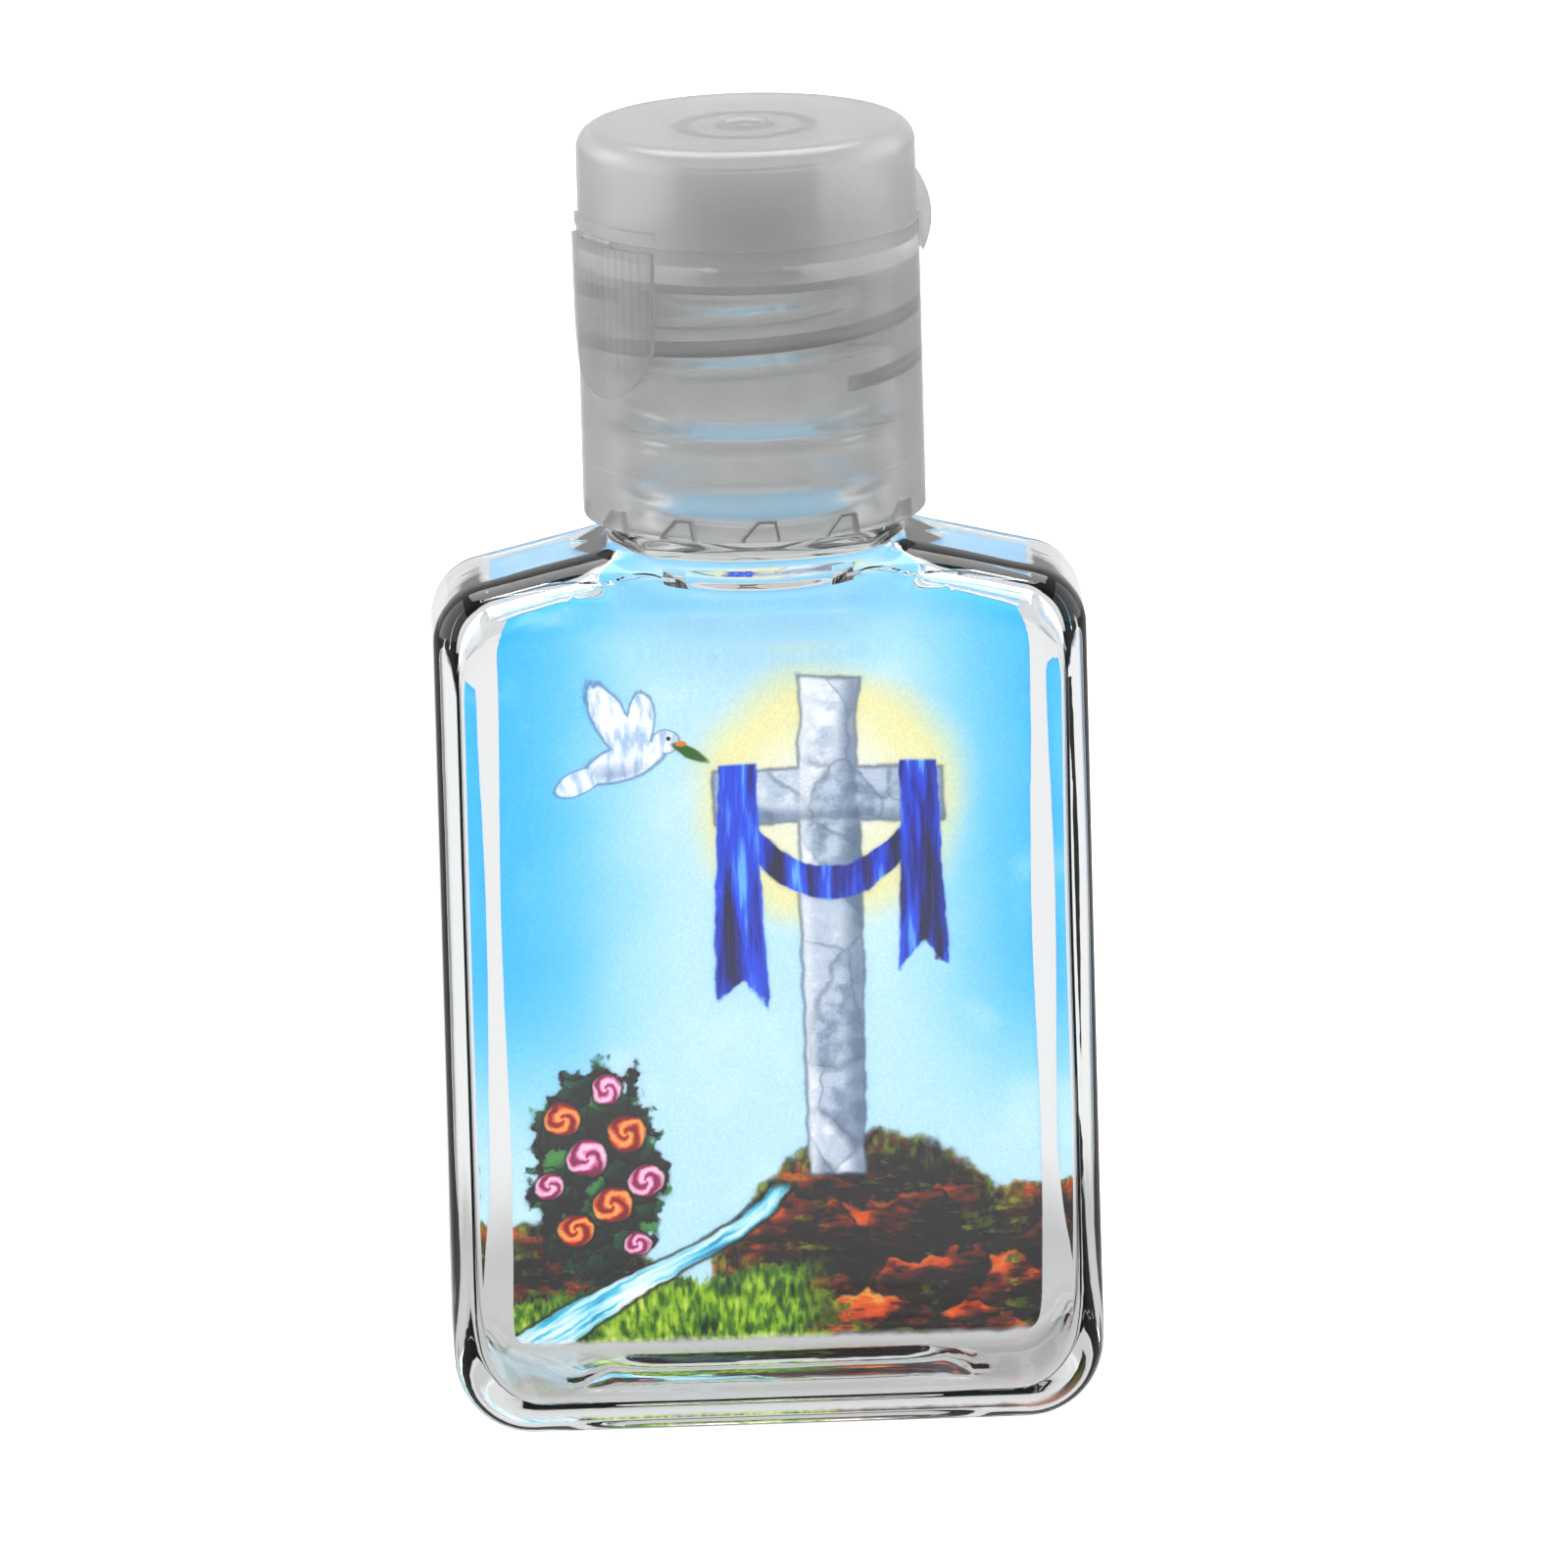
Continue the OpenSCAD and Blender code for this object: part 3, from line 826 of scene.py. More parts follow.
    def material(self) -> Finish:
        """Paints the picture and lays it on the film.

        Returns:
            The finish of the film.
        """
        dot_scale, dot_share, see_through, print_edge = 7.0, 0.3, 0.82, (1.3, 2.4)
        self.paint_sky()
        self.paint_glow()
        self.paint_ground()
        self.paint_cross()
        self.paint_dove()
        self.paint_bush()
        g = self.graph
        dots = (0.5 - g.noise(dot_scale, 2.0)).step(-0.2, 0.2) * dot_share
        ink = g.blend(dots, self.colour, self.PRINT_DOTS, "MULTIPLY")
        front = g.add("BsdfDiffuse", Color=ink)
        back = g.add("BsdfTranslucent", Color=ink)
        print_layer = g.mix(see_through, front.outputs[0], back.outputs[0])
        bare = g.add("BsdfTransparent")
        fade = (self.z + self.wobble * 0.8).step(*print_edge)
        return g.finish(g.mix(fade, bare.outputs[0], print_layer))


@dataclass
class Thread:
    """Helical thread shared by neck and skirt."""

    pitch: float = 3.175
    start: float = 64.7
    turns: float = 1.9
    crest: float = 0.9
    half_width: float = 0.72
    crest_share: float = 0.35
    run_in: Pair = (-0.02, 0.12)

    def height(self, angle: np.ndarray, z: np.ndarray | float) -> np.ndarray:
        """Height of the neck's thread above its root.

        Args:
            angle: azimuth about the neck, in radians.
            z: height up the neck.

        Returns:
            Heights in millimetres.
        """
        turn = angle / TURN
        lap = np.round((z - self.start) / self.pitch - turn) + turn
        off = np.abs(z - self.start - lap * self.pitch)
        ridge = 1.0 - smoothstep(self.half_width * self.crest_share, self.half_width, off)
        low, full = self.run_in
        ends = smoothstep(low, full, lap) * (1.0 - smoothstep(self.turns - full, self.turns - low, lap))
        return self.crest * ridge * ends


@dataclass
class Flask:
    """Blown flask with its neck.

    The sweep, lip and fillet at the neck's foot are arcs, each with its middle out and up and its radius. A
    zone is a span of heights. Spans of loops have a start, an end and a step.
    """

    width: float = 40.0
    depth: float = 14.0
    edge_radius: float = 3.0
    heel_radius: float = 2.2
    base_radius: float = 4.9
    corner_z: float = 49.7
    corner_keep: float = 0.75
    shoulder_radius: float = 3.6
    shoulder_angle: float = math.radians(13.5)
    wall: float = 0.9
    side_wall: float = 1.5
    base_wall: float = 1.9
    heel_wall: float = 0.5
    heel_zone: Pair = (1.0, 9.0)
    ripple: float = 0.05
    ripple_across: Pair = (0.37, 0.4)
    ripple_up: Pair = (0.21, 1.1)
    hollow_depth: float = 1.2
    hollow_width: float = 6.4
    hollow_reach: float = 12.9
    hollow_end: float = 3.0
    hollow_power: float = 1.5
    collar_r: float = 8.85
    waist_r: float = 8.05
    bead_r: float = 8.95
    bead_z: float = 62.665
    bead_half: float = 0.55
    collar_top: float = 58.2
    root_r: float = 7.85
    bore_r: float = 6.1
    rim_z: float = 71.815
    rim_round: float = 0.5
    mouth_round: float = 0.3
    root_slope: float = 0.8
    inner_edge: float = 0.45
    shoulder_edge: float = 2.2
    edge_rise: float = 16.0
    sharp_zone: Pair = (3.0, 8.0)
    shoulder_zone: Pair = (47.0, 51.5)
    seam_angle: float = math.radians(-81.5)
    seam_half: float = 0.03
    seam_height: float = 0.12
    lip: Triple = (9.3, 54.115, 0.5)
    lip_share: float = 0.55
    sweep: Triple = (11.9, 49.27, 5.0)
    fillet: Triple = (9.95, 55.577, 1.1)
    neck_soft: float = 0.3
    bore_soft: float = 0.5
    neck_share: float = 0.8
    foot_blend: Pair = (4.2, 0.5)
    foot_zone: Pair = (52.6, 55.4)
    bore_blend: float = 3.4
    profile_low: float = 28.0
    profile_spare: float = 2.0
    profile_step: float = 0.02
    ramp_lift: float = 0.2
    foot_lift: float = 0.4
    foot_reach: Pair = (9.0, 13.5)
    foot_top: float = 57.0
    outer_ring: Pair = (9.9, 53.9)
    inner_ring: Pair = (7.9, 53.6)
    floor_shares: tuple[float, ...] = (0.04, 0.12, 0.22, 0.32, 0.42, 0.5, 0.58, 0.65, 0.71, 0.77, 0.82, 0.87,
                                       0.91, 0.95, 0.98, 1.0)
    heel_levels: tuple[float, ...] = (0.25, 0.6, 1.0, 1.5, 2.0, 2.6, 3.3, 4.1, 5.0, 6.2, 7.8)
    wall_spans: tuple[Triple, ...] = ((12.0, 39.0, 3.0), (40.0, 48.0, 0.6))
    neck_spans: tuple[Triple, ...] = ((54.2, 57.0, 0.2), (57.2, 61.8, 0.5), (61.9, 63.5, 0.14))
    thread_foot: float = 63.6
    thread_step: float = 0.2
    bore_spans: tuple[Triple, ...] = ((70.615, 57.5, -1.4), (57.4, 54.0, -0.3))
    shoulder_loops: int = 12
    foot_loops: int = 28
    thread: Thread = field(default_factory=Thread)

    def __post_init__(self) -> None:
        """Works out the profiles of neck and bore and the places around the flask."""
        self.heights = np.arange(self.profile_low, self.rim_z + self.profile_spare, self.profile_step)
        self.neck = self._softened(self._neck_profile(), self.neck_soft)
        self.bore = self._softened(self._bore_profile(), self.bore_soft)
        half, deep = self.width / 2.0, self.depth / 2.0
        self.around = self._places_around(half, deep, self.edge_radius)
        self.lining = self._places_around(half - self.side_wall, deep - self.wall, self.inner_edge)
        self.angles = np.arctan2(self.around[:, 1] * self.width / self.depth, self.around[:, 0])

    def _softened(self, radii: np.ndarray, width: float) -> np.ndarray:
        """Rounds the corners of a profile.

        Args:
            radii: radius at each height.
            width: how widely they are rounded.

        Returns:
            The rounded radii.
        """
        reach = 3.0 * width
        span = np.arange(-reach, reach + self.profile_step / 2.0, self.profile_step)
        weight = np.exp(-0.5 * (span / width) ** 2)
        padded = np.pad(radii, len(span) // 2, mode="edge")
        return np.convolve(padded, weight / weight.sum(), mode="valid")[: len(radii)]

    def _neck_profile(self) -> np.ndarray:
        """Works out the neck from below: sweep, lip, fillet, collar, waist, bead and thread root.

        Returns:
            Radius of the neck at each height.
        """
        z = self.heights
        sx, sz, sr = self.sweep
        lx, lz, lr = self.lip
        fx, fz, fr = self.fillet
        sweep = sx - half_chord(sr, z - sz)
        lip = lx + half_chord(lr, z - lz)
        fillet = fx - half_chord(fr, z - fz)
        swept = sz + sr * math.sin(math.atan2(lz - sz, sx - lx))
        radius = np.where(z < self.bead_z, self.waist_r, self.root_r)
        cone = self.collar_r - np.clip(z - self.collar_top, 0.0, self.collar_r - self.waist_r)
        radius = np.where(z < self.bead_z - self.bead_half, cone, radius)
        radius = np.where(z < fz, fillet, radius)
        beyond = np.maximum(lip, np.where(z < lz, 0.0, fillet))
        radius = np.where(z < lz + lr * self.lip_share, beyond, radius)
        radius = np.where(z < swept, np.minimum(sweep, lx + lr), radius)
        radius = np.where(z < sz, sx - sr - (sz - z) * self.root_slope, radius)
        bulge = self.bead_r - self.bead_half + half_chord(self.bead_half, z - self.bead_z)
        return np.where(np.abs(z - self.bead_z) < self.bead_half, bulge, radius)

    def _bore_profile(self) -> np.ndarray:
        """Works out the space in the neck: a wall inside the sweep, a funnel and the bore.

        Returns:
            Radius of the space at each height.
        """
        z = self.heights
        sx, sz, sr = self.sweep
        reach = sr + self.wall
        sweep = sx - half_chord(reach, np.maximum(z - sz, 0.0))
        top = self.lip[1]
        widest = sx - math.sqrt(reach**2 - (top - sz) ** 2)
        end = self.fillet[1] + self.wall
        funnel = widest + (self.bore_r - widest) * np.clip((z - top) / (end - top), 0.0, 1.0)
        sweep = sweep - np.maximum(sz - z, 0.0) * self.root_slope
        return np.where(z < top, sweep, funnel)

    def _places_around(self, half: float, deep: float, r: float) -> np.ndarray:
        """Places round a rounded plan, close together at its corners.

        Args:
            half: half width of the plan.
            deep: half depth of the plan.
            r: radius of its corners.

        Returns:
            Points on the plan.
        """
        side_places, corner_places, front_places = 7, 11, 30
        short = [(half, y) for y in np.linspace(0.0, deep - r, side_places)[:-1]]
        arc = np.linspace(0.0, math.pi / 2.0, corner_places)
        corner = [(half - r + r * math.cos(a), deep - r + r * math.sin(a)) for a in arc]
        long = [(x, deep) for x in np.linspace(half - r, 0.0, front_places)[1:]]
        quarter = np.array(short + corner + long)
        left = quarter[::-1][1:] * (-1, 1)
        upper = np.vstack([quarter, left])
        lower = upper[::-1][1:-1] * (1, -1)
        return np.vstack([upper, lower])

    def seam(self) -> np.ndarray:
        """Height of the mould's seam down the front and the back of the neck."""
        off = np.abs(np.mod(self.angles - self.seam_angle + math.pi / 2.0, math.pi) - math.pi / 2.0)
        return self.seam_height * (off < self.seam_half)

    def dish(self, p: np.ndarray) -> np.ndarray:
        """Long dished hollow under the base.

        Args:
            p: points in millimetres.

        Returns:
            Height of the hollow over each point.
        """
        across = np.clip(1.0 - (p[:, 1] / (self.hollow_width / 2.0)) ** 2, 0.0, 1.0)
        along = 1.0 - smoothstep(self.hollow_reach - self.hollow_end, self.hollow_reach, np.abs(p[:, 0]))
        return self.hollow_depth * across**self.hollow_power * along

    def _box(self, p: np.ndarray, inset: np.ndarray | float, floor: np.ndarray | float) -> np.ndarray:
        """Distance to the flask's body, brought in by a wall that is thicker at its sides.

        Args:
            p: points in millimetres.
            inset: thickness of the wall.
            floor: height of the floor.

        Returns:
            Distances, negative inside.
        """
        x, y, z = np.abs(p[:, 0]), np.abs(p[:, 1]), p[:, 2]
        half, inner = self.width / 2.0, np.asarray(inset) > 0.0
        s, c = math.sin(self.shoulder_angle), math.cos(self.shoulder_angle)
        top_x = half - self.shoulder_radius * (1.0 - s)
        top_z = self.corner_z + self.shoulder_radius * c
        beside = np.where(inner, inset + self.side_wall - self.wall, 0.0)
        slope = (np.maximum(x, self.collar_r) - top_x) * s + (z - top_z) * c + beside
        corner = -((half - top_x) * s + (self.corner_z - top_z) * c)
        side = rounded_meet(x - half + beside, floor - z, self.base_radius - inset)
        outline = rounded_meet(side, slope, corner - inset * self.corner_keep)
        share = smoothstep(self.base_radius, self.edge_rise, z)
        edge = self.heel_radius + (self.edge_radius - self.heel_radius) * share - inset
        softer = (self.shoulder_edge - self.inner_edge) * smoothstep(*self.shoulder_zone, z)
        sharper = (self.inner_edge + softer - edge) * smoothstep(*self.sharp_zone, z)
        edge = edge + np.where(inner, sharper, 0.0)
        return rounded_meet(outline, y - self.depth / 2.0 + inset, edge)

    def outside(self, p: np.ndarray) -> np.ndarray:
        """Distance to the flask's outer face, where body and neck flow into each other.

        Args:
            p: points in millimetres.

        Returns:
            Distances, negative inside.
        """
        z = p[:, 2]
        neck = np.hypot(p[:, 0], p[:, 1]) - np.interp(z, self.heights, self.neck)
        wide, narrow = self.foot_blend
        blend = wide - (wide - narrow) * smoothstep(*self.foot_zone, z)
        return soft_join(self._box(p, 0.0, self.dish(p)), neck * self.neck_share, blend)

    def inside(self, p: np.ndarray) -> np.ndarray:
        """Distance to the space in the flask, whose wall is a little uneven as a blown one is.

        Args:
            p: points in millimetres.

        Returns:
            Distances, negative inside.
        """
        x, z = p[:, 0], p[:, 2]
        (fast, shift), (fast_up, shift_up) = self.ripple_across, self.ripple_up
        ripple = self.ripple * np.sin(x * fast + shift) * np.sin(z * fast_up + shift_up)
        wall = self.wall + ripple + self.heel_wall * (1.0 - smoothstep(*self.heel_zone, z))
        bore = np.hypot(x, p[:, 1]) - np.interp(z, self.heights, self.bore)
        body = self._box(p, wall, self.dish(p) + self.base_wall)
        return soft_join(body, bore * self.neck_share, self.bore_blend)

    def _pulled(self, guide: np.ndarray, inner: bool) -> np.ndarray:
        """Moves guide points onto the flask's face along its slope.

        Args:
            guide: points close to the face.
            inner: whether it is the inner face.

        Returns:
            Points on the face.
        """
        rounds, feel, flattest, longest = 14, 0.02, 0.05, 1.0
        far = self.inside if inner else self.outside
        p = guide.copy()
        for _ in range(rounds):
            rises = [(far(p + feel * e) - far(p - feel * e)) / (2.0 * feel) for e in np.eye(3)]
            slope = np.stack(rises, axis=1)
            length = np.maximum((slope**2).sum(axis=1), flattest)
            move = np.clip(far(p) / length, -longest, longest)
            p -= slope * move[:, None]
        return p

    def _top_of_wall(self, plan: np.ndarray) -> np.ndarray:
        """Height at which the wall ends under the shoulder or the neck's foot.

        Args:
            plan: places around the flask.

        Returns:
            Height at each place.
        """
        x = np.abs(plan[:, 0])
        rise = (self.width / 2.0 - x) * math.tan(self.shoulder_angle)
        ramp = self.corner_z + self.shoulder_radius + self.ramp_lift + rise
        low = self.sweep[1] + self.foot_lift
        return low + (ramp - low) * smoothstep(*self.foot_reach, x)

    def _loops(self, inner: bool) -> list[np.ndarray]:
        """Loops of points on one face, from the middle of the floor to the top of the neck's foot.

        Args:
            inner: whether it is the inner face.

        Returns:
            Loops of points, from low to high.
        """
        inset, low = (self.wall, self.base_wall) if inner else (0.0, 0.0)
        plan = self.lining if inner else self.around
        levels = np.concatenate([np.array(self.heel_levels) + low, spaced(*self.wall_spans)])
        loops = [at_height(plan * share, low) for share in self.floor_shares]
        loops += [at_height(plan, z) for z in levels]
        rise = self._top_of_wall(plan) - inset - levels[-1]
        loops += [at_height(plan, levels[-1] + rise * share) for share in shares(self.shoulder_loops)]
        radius, height = self.inner_ring if inner else self.outer_ring
        ring, start = ring_at(radius, self.angles, height), loops[-1]
        loops += [start + (ring - start) * share for share in shares(self.foot_loops)]
        return [self._pulled(loop, inner) for loop in loops]

    def _rings(self, levels: np.ndarray, inner: bool) -> list[np.ndarray]:
        """Rings of the neck at given heights, with the thread on the outer face.

        Args:
            levels: heights in order.
            inner: whether they are rings of the bore.

        Returns:
            Loops of points.
        """
        rings = []
        for z in levels:
            radius = np.interp(z, self.heights, self.bore if inner else self.neck)
            if not inner:
                radius = radius + self.thread.height(self.angles, z) + self.seam()
            ring = ring_at(radius, self.angles, z)
            rings.append(self._pulled(ring, inner) if z < self.foot_top else ring)
        return rings

    def _mouth(self) -> list[np.ndarray]:
        """Rings over the rounded rim, from its outer to its inner edge.

        Returns:
            Loops of points.
        """
        quarter, outer_steps, inner_steps = math.pi / 2.0, 6, 5
        outer = (self.root_r - self.rim_round, self.rim_round, np.linspace(0.0, quarter, outer_steps)[1:])
        inner = (self.bore_r + self.mouth_round, self.mouth_round, np.linspace(quarter, math.pi, inner_steps))
        rings = []
        for middle, small, bend in (outer, inner):
            for a in bend:
                height = self.rim_z - small + small * math.sin(a)
                rings.append(ring_at(middle + small * math.cos(a), self.angles, height))
        return rings

    def build(self, finish: Finish) -> Piece:
        """Builds the flask as one closed shell, from under its base over the rim and down to its inner floor.

        Args:
            finish: the clear plastic.

        Returns:
            The flask.
        """
        top = self.rim_z - self.rim_round
        up = np.append(spaced(*self.neck_spans, (self.thread_foot, top, self.thread_step)), top)
        loops = self._loops(False) + self._rings(up, False) + self._mouth()
        loops += self._rings(spaced(*self.bore_spans), True) + self._loops(True)[::-1]
        low = self._pulled(np.array([[0.0, 0.0, 0.0]]), False)
        high = self._pulled(np.array([[0.0, 0.0, self.base_wall + self.hollow_depth]]), True)
        points, count = np.vstack([*loops, low, high]), len(self.around)
        faces = wrap(len(loops), count)
        first, last, end = len(points) - 2, len(points) - 1, (len(loops) - 1) * count
        for i in range(count):
            j = (i + 1) % count
            faces += [[first, j, i], [last, end + i, end + j]]
        piece = make_piece("clear_flask", points, faces, finish)
        settle(piece, Body.FLASK, Slot.CLEAR, "bottle")
        return piece


@dataclass
class Film:
    """Printed film on the outside of the back wall."""

    flask: Flask
    thickness: float = 0.1
    gap: float = 0.04
    half_width: float = 16.4
    offset: float = 0.3
    low: float = 1.0
    high: float = 53.3
    margin: float = 1.2
    corner: float = 1.6
    columns: int = 69
    corner_columns: int = 9
    corner_turn: float = 1.57
    rows: int = 50
    top_rows: int = 14
    top_share: Pair = (0.9, 0.91)
    search: Pair = (3.0, 11.0)
    halvings: int = 30

    def _edge_heights(self, x: np.ndarray) -> tuple[np.ndarray, np.ndarray]:
        """Lower and upper edge of the film at each place across it.

        Args:
            x: places across.

        Returns:
            Heights of the lower and of the upper edge.
        """
        into = np.clip(np.abs(x - self.offset) - self.half_width + self.corner, 0.0, self.corner)
        low = self.low + self.corner - half_chord(self.corner, into)
        f = self.flask
        centre, slope = f.width / 2.0 - f.shoulder_radius, math.tan(f.shoulder_angle)
        arc = f.corner_z + half_chord(f.shoulder_radius, np.clip(np.abs(x) - centre, 0.0, f.shoulder_radius))
        bend = centre + f.shoulder_radius * math.sin(f.shoulder_angle)
        ramp = f.corner_z + f.shoulder_radius * math.cos(f.shoulder_angle) + (bend - np.abs(x)) * slope
        return low, np.minimum(np.where(np.abs(x) > bend, arc, ramp) - self.margin, self.high)

    def _on_wall(self, x: np.ndarray, z: np.ndarray) -> np.ndarray:
        """Depth of the flask's back face at places across and up it.

        Args:
            x: places across.
            z: places up.

        Returns:
            Depths in millimetres.
        """
        near, far = (np.full_like(x, depth) for depth in self.search)
        for _ in range(self.halvings):
            middle = (near + far) / 2.0
            inside = self.flask.outside(np.column_stack([x, middle, z])) < 0.0
            near, far = np.where(inside, middle, near), np.where(inside, far, middle)
        return far

    def build(self, finish: Finish) -> Piece:
        """Builds the film as a thin sheet with rounded corners that lies on the back wall.

        Args:
            finish: the printed picture.

        Returns:
            The film.
        """
        half = self.half_width
        side = self.corner * (1.0 - np.cos(np.linspace(0.0, self.corner_turn, self.corner_columns)))
        across = np.concatenate([np.linspace(-half, half, self.columns), half - side, side - half])
        across = np.unique(across) + self.offset
        low, high = self._edge_heights(across)
        last, first = self.top_share
        rows = np.concatenate([np.linspace(0.0, last, self.rows), np.linspace(first, 1.0, self.top_rows)])
        heights = [low + (high - low) * t for t in rows]
        inner = np.vstack([np.column_stack([across, self._on_wall(across, z), z]) for z in heights])
        points = np.vstack([inner + (0.0, self.gap, 0.0), inner + (0.0, self.gap + self.thickness, 0.0)])
        n, m, shift = len(across), len(rows), len(inner)
        faces = []
        for r in range(m - 1):
            for a in range(r * n, r * n + n - 1):
                faces.append([a, a + 1, a + n + 1, a + n])
                faces.append([shift + a, shift + a + n, shift + a + n + 1, shift + a + 1])
        rim = list(range(n)) + [r * n + n - 1 for r in range(1, m)]
        rim += [(m - 1) * n + c for c in range(n - 2, -1, -1)] + [r * n for r in range(m - 2, 0, -1)]
        for a, b in zip(rim, rim[1:] + rim[:1]):
            faces.append([b, a, shift + a, shift + b])
        piece = make_piece("picture_print", points, faces, finish)
        settle(piece, Body.FLASK, Slot.PRINT, "picture_film")
        return piece


@dataclass
class Closure:
    """Screw base, hinge and flip-up lid, with the skirt's inner thread and dark rods of painted shade along
    the edges of its notches.
    """

    skirt_r: float = 9.15
    crest_r: float = 8.5
    crest_round: float = 0.1
    root_sink: float = 0.04
    end_sink: float = 0.06
    ridge_halves: tuple[float, float, float, float] = (0.5, 0.44, 0.16, 0.07)
    ridge_steps: int = 150
    ridge_turns: float = 1.75
    ridge_start: float = -0.15
    ridge_run_in: float = 0.08
    skirt_z: float = 56.615
    notch_count: int = 12
    notch_height: float = 1.3
    notch_width: float = 2.55
    notch_slope: float = 1.2
    notch_steep: float = 0.25
    notch_reach: Pair = (9.5, 10.0)
    notch_gap: float = 0.02
    notch_line: float = 0.15
    thread: Thread = field(default_factory=Thread)

    def build_thread(self, finish: Finish) -> Piece:
        """Builds the skirt's inner thread, which runs between the turns of the neck's.

        Args:
            finish: the milky plastic.

        Returns:
            The thread ridge.
        """
        radii = (self.skirt_r + self.root_sink, self.skirt_r - self.root_sink,
                 self.crest_r + self.crest_round, self.crest_r)
        upper = list(zip(radii, self.ridge_halves))[::-1]
        section = [(r, -z) for r, z in upper[::-1]] + upper
        root = self.skirt_r + self.end_sink
        points = []
        for t in np.linspace(0.0, 1.0, self.ridge_steps + 1):
            lap = self.ridge_start + self.ridge_turns * t
            grow = smoothstep(0.0, self.ridge_run_in, t) * (1.0 - smoothstep(1.0 - self.ridge_run_in, 1.0, t))
            middle = self.thread.start + self.thread.pitch * (lap + 0.5)
            for r, z in section:
                radius = r if r > self.skirt_r else root + (r - root) * grow
                points.append((radius * math.cos(lap * TURN), radius * math.sin(lap * TURN), middle + z))
        piece = make_piece("skirt_thread", np.array(points), rod(self.ridge_steps + 1, len(section)), finish)
        settle(piece, Body.CLOSURE, Slot.MILKY)
        return piece

    def _notch_outline(self, inset: float) -> list[Pair]:
        """Outline of a ratchet notch.

        Args:
            inset: how far it is brought in.

        Returns:
            Its corners, across from its middle and up from the skirt's rim.
        """
        foot, sloped, steep = 1.35, 0.5, 0.85
        half, top = self.notch_width / 2.0, self.notch_height - inset
        return [(inset * foot - half, 0.0), (self.notch_slope - half + inset * sloped, top),
                (half - self.notch_steep - inset * steep, top), (half - inset, 0.0)]

    def build_notch_shade_lines(self, finish: Finish) -> Piece:
        """Builds thin dark rods along the edges of the ratchet notches: painted shade for the dark lines that
        the edges show through the skirt.

        Args:
            finish: the dark plastic of the rods, which paints the shade.

        Returns:
            The dark rods of painted shade along all notches.
        """
        outer = self._notch_outline(self.notch_gap)
        inner = self._notch_outline(self.notch_gap + self.notch_line)
        near, far = self.notch_reach
        points, faces = [], []
        for i in range(self.notch_count):
            c, s = math.cos(TURN * i / self.notch_count), math.sin(TURN * i / self.notch_count)
            faces += rod(len(outer), 4, len(points))
            for wide, narrow in zip(outer, inner):
                for (across, up), out in ((wide, near), (wide, far), (narrow, far), (narrow, near)):
                    points.append((across * c + out * s, across * s - out * c, self.skirt_z + up))
        piece = make_piece("notch_shade_lines", np.array(points), faces, finish)
        settle(piece, Body.CLOSURE, Slot.MILKY)
        return piece

    def dress(self, nodes: dict[str, Piece], finishes: dict[str, Finish]) -> None:
        """Gives CAD pieces their finishes.

        Args:
            nodes: CAD objects by name.
            finishes: finish of each piece by name.
        """
        for name, finish in finishes.items():
            nodes[name].data.materials.clear()
            nodes[name].data.materials.append(finish)
            LOG.info("dressed %s", name)


@dataclass(frozen=True)
class SoftBox:
    """Soft lamp that faces the object, with its power in watts. Its glow may be kept out of reflections."""

    name: str
    place: Triple
    size: Pair
    power: float
    mirrored: bool = True


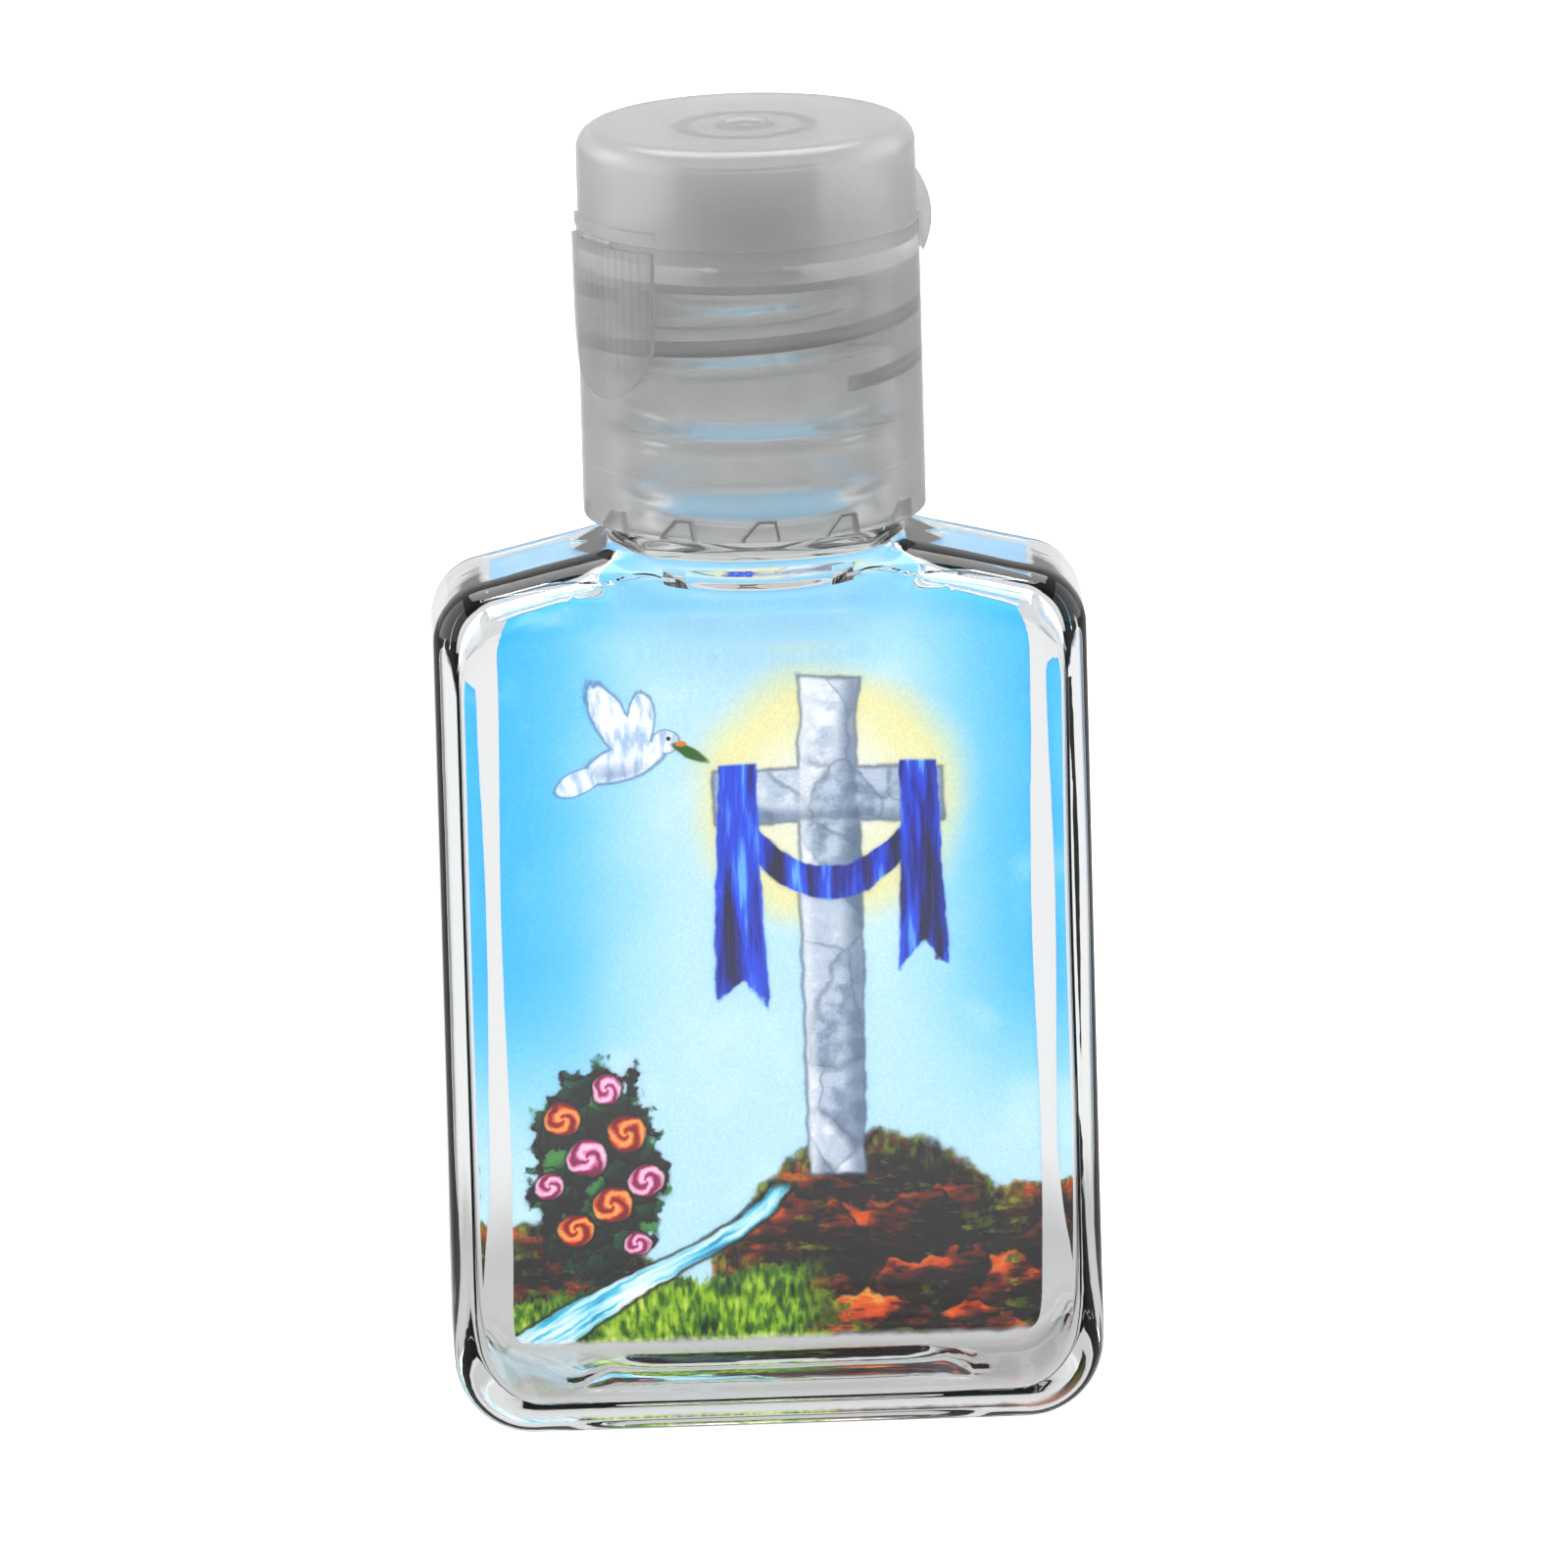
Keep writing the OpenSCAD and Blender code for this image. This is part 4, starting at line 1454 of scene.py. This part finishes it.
@dataclass
class Studio:
    """Plain pale floor, soft lamps and the camera at the photograph's angle, in metres."""

    azimuth: float = math.radians(-1.4)
    elevation: float = math.radians(12.7)
    distance: float = 1.5
    target: Triple = (0.0, 0.0, 0.040)
    roll: float = math.radians(1.54)
    lens: float = 560.7
    sensor: float = 36.0
    shift: Pair = (0.014, -0.0075)
    clip: Pair = (0.05, 20.0)
    floor_half: float = 6.0
    floor_drop: float = 0.00002
    floor_colour: Colour = (0.6, 0.6, 0.6)
    floor_glow: float = 0.62
    bounce_colour: Colour = (0.8, 0.8, 0.8)
    tent_folds: float = 4.0
    fold_edges: Pair = (-0.35, 0.6)
    fold_light: Pair = (0.4, 0.9)
    under_flask_shadow_edges: Pair = (0.03, 0.07)
    under_flask_shadow: float = 0.6
    front_edges: Pair = (-0.4, -0.06)
    front_light: float = 0.45
    room_edges: Pair = (-0.5, 0.15)
    room_light: Pair = (0.22, 0.95)
    lamps: tuple[SoftBox, ...] = (
        SoftBox("left_box", (-0.75, 0.05, 0.3), (1.1, 0.9), 5.5),
        SoftBox("right_box", (0.8, 0.05, 0.3), (1.2, 0.9), 4.0),
        SoftBox("top_box", (0.0, 0.3, 0.8), (0.8, 0.5), 6.5),
        SoftBox("back_box", (0.0, 0.8, 0.08), (0.9, 0.2), 7.0, mirrored=False),
    )

    def build_camera(self) -> None:
        """Sets the camera up."""
        az, el = self.azimuth, self.elevation
        back = Vector((math.sin(az) * math.cos(el), -math.cos(az) * math.cos(el), math.sin(el)))
        right = Vector((math.cos(az), math.sin(az), 0.0))
        up = back.cross(right)
        c, s = math.cos(self.roll), math.sin(self.roll)
        across, above = right * c - up * s, up * c + right * s
        data = bpy.data.cameras.new("camera")
        data.lens, data.sensor_width = self.lens, self.sensor
        data.shift_x, data.shift_y = self.shift
        data.clip_start, data.clip_end = self.clip
        camera = bpy.data.objects.new("camera", data)
        turn = Matrix((across, above, back)).transposed().to_4x4()
        camera.matrix_world = Matrix.Translation(Vector(self.target) + back * self.distance) @ turn
        bpy.context.scene.collection.objects.link(camera)
        bpy.context.scene.camera = camera

    def _tent(self, g: Graph) -> Field:
        """Light that the floor shows in reflections and through the flask: folds as a light tent has, and a
        painted shadow under the flask.

        Args:
            g: the floor's node tree.

        Returns:
            Strength of the light.
        """
        place = g.add("SeparateXYZ", Vector=g.add("TexCoord").outputs["Object"])
        x, y = Field(g, place.outputs[0]), Field(g, place.outputs[1])
        folds = x.angle(y) * self.tent_folds
        dim, bright = self.fold_light
        tent = (folds + math.pi / 2.0).sine().step(*self.fold_edges) * (bright - dim) + dim
        # Painted shadow: an even, dimmer patch under the flask in place of the folds.
        away = (x * x + y * y).root().step(*self.under_flask_shadow_edges)
        tent = tent * away + (1.0 - away) * self.under_flask_shadow
        return tent * (y.step(*self.front_edges) * (1.0 - self.front_light) + self.front_light)

    def build_floor(self) -> None:
        """Lays a wide white floor that keeps the object's shadow."""
        g = Graph("pale_floor")
        path = g.add("LightPath")
        lit = g.add("BsdfDiffuse", Color=self.floor_colour)
        glow = g.add("Emission", Color=(1.0, 1.0, 1.0), Strength=self.floor_glow)
        both = g.add("AddShader")
        g.join(lit.outputs[0], both.inputs[0])
        g.join(glow.outputs[0], both.inputs[1])
        mirrored = g.add("Emission", Color=(1.0, 1.0, 1.0), Strength=self._tent(g))
        plain = g.add("BsdfDiffuse", Color=self.bounce_colour)
        through = Field(g, path.outputs["Is Glossy Ray"]).most(Field(g, path.outputs["Is Transmission Ray"]))
        unseen = g.mix(through, plain.outputs[0], mirrored.outputs[0])
        finish = g.finish(g.mix(path.outputs["Is Camera Ray"], unseen, both.outputs[0]))
        corners = np.array([(-1, -1, 0), (1, -1, 0), (1, 1, 0), (-1, 1, 0)]) * self.floor_half
        corners = (corners - (0.0, 0.0, self.floor_drop)) / MM
        make_piece("floor", corners, [[0, 1, 2, 3]], finish)

    def build_lamps(self) -> None:
        """Hangs the lamps: boxes left, right and above, and one behind that isn't reflected."""
        for box in self.lamps:
            data = bpy.data.lights.new(box.name, "AREA")
            data.shape, data.size, data.size_y = "RECTANGLE", *box.size
            data.energy = box.power
            lamp = bpy.data.objects.new(box.name, data)
            lamp.location = box.place
            lamp.visible_glossy = lamp.visible_transmission = box.mirrored
            aim = Vector(self.target) - Vector(box.place)
            lamp.rotation_euler = aim.to_track_quat("-Z", "Y").to_euler()
            bpy.context.scene.collection.objects.link(lamp)

    def build_world(self) -> None:
        """Lights the room: white behind the object, dimmer towards the camera."""
        world = bpy.data.worlds.new("studio")
        bpy.context.scene.world = world
        world.use_nodes = True
        tree = world.node_tree
        tree.nodes.clear()
        place = tree.nodes.new("ShaderNodeTexCoord")
        split = tree.nodes.new("ShaderNodeSeparateXYZ")
        tree.links.new(place.outputs["Generated"], split.inputs[0])
        ramp = tree.nodes.new("ShaderNodeMapRange")
        ramp.interpolation_type = "SMOOTHSTEP"
        tree.links.new(split.outputs[1], ramp.inputs[0])
        for key, value in enumerate((*self.room_edges, *self.room_light), start=1):
            ramp.inputs[key].default_value = value
        glow = tree.nodes.new("ShaderNodeBackground")
        tree.links.new(ramp.outputs[0], glow.inputs["Strength"])
        out = tree.nodes.new("ShaderNodeOutputWorld")
        tree.links.new(glow.outputs[0], out.inputs["Surface"])


def main() -> None:
    """Builds the studio, the flask, the film and the closure in order."""
    logging.basicConfig(level=logging.INFO, format="%(name)s: %(message)s")
    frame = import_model()
    bpy.context.scene.view_settings.view_transform = "Standard"
    studio = Studio()
    studio.build_camera()
    studio.build_floor()
    studio.build_lamps()
    studio.build_world()
    flask = Flask()
    flask.build(ClearPlastic().material())
    Film(flask).build(FilmPrint().material())
    closure = Closure()
    base = MilkyPlastic("milky_base").material()
    lid = MilkyPlastic("milky_lid", colour=(0.56, 0.56, 0.555), clearness=0.62, roughness=0.2).material()
    tongue = MilkyPlastic("milky_tongue", clearness=0.84, roughness=0.12, haze=(0.97, 0.97, 0.97)).material()
    # Painted shade: a dark, nearly opaque copy of the milky plastic for the rods along the notch edges.
    edge = MilkyPlastic("painted_shade_lines", colour=(0.24, 0.24, 0.235), clearness=0.2).material()
    closure.build_thread(base)
    closure.build_notch_shade_lines(edge)
    closure.dress(frame["nodes"], {"cap_base": base, "hinge_tongue": tongue, "hinge_web": base,
                                   "flip_lid": lid, "sealing_washer": WasherFoam().material()})


if __name__ == "__main__":
    main()
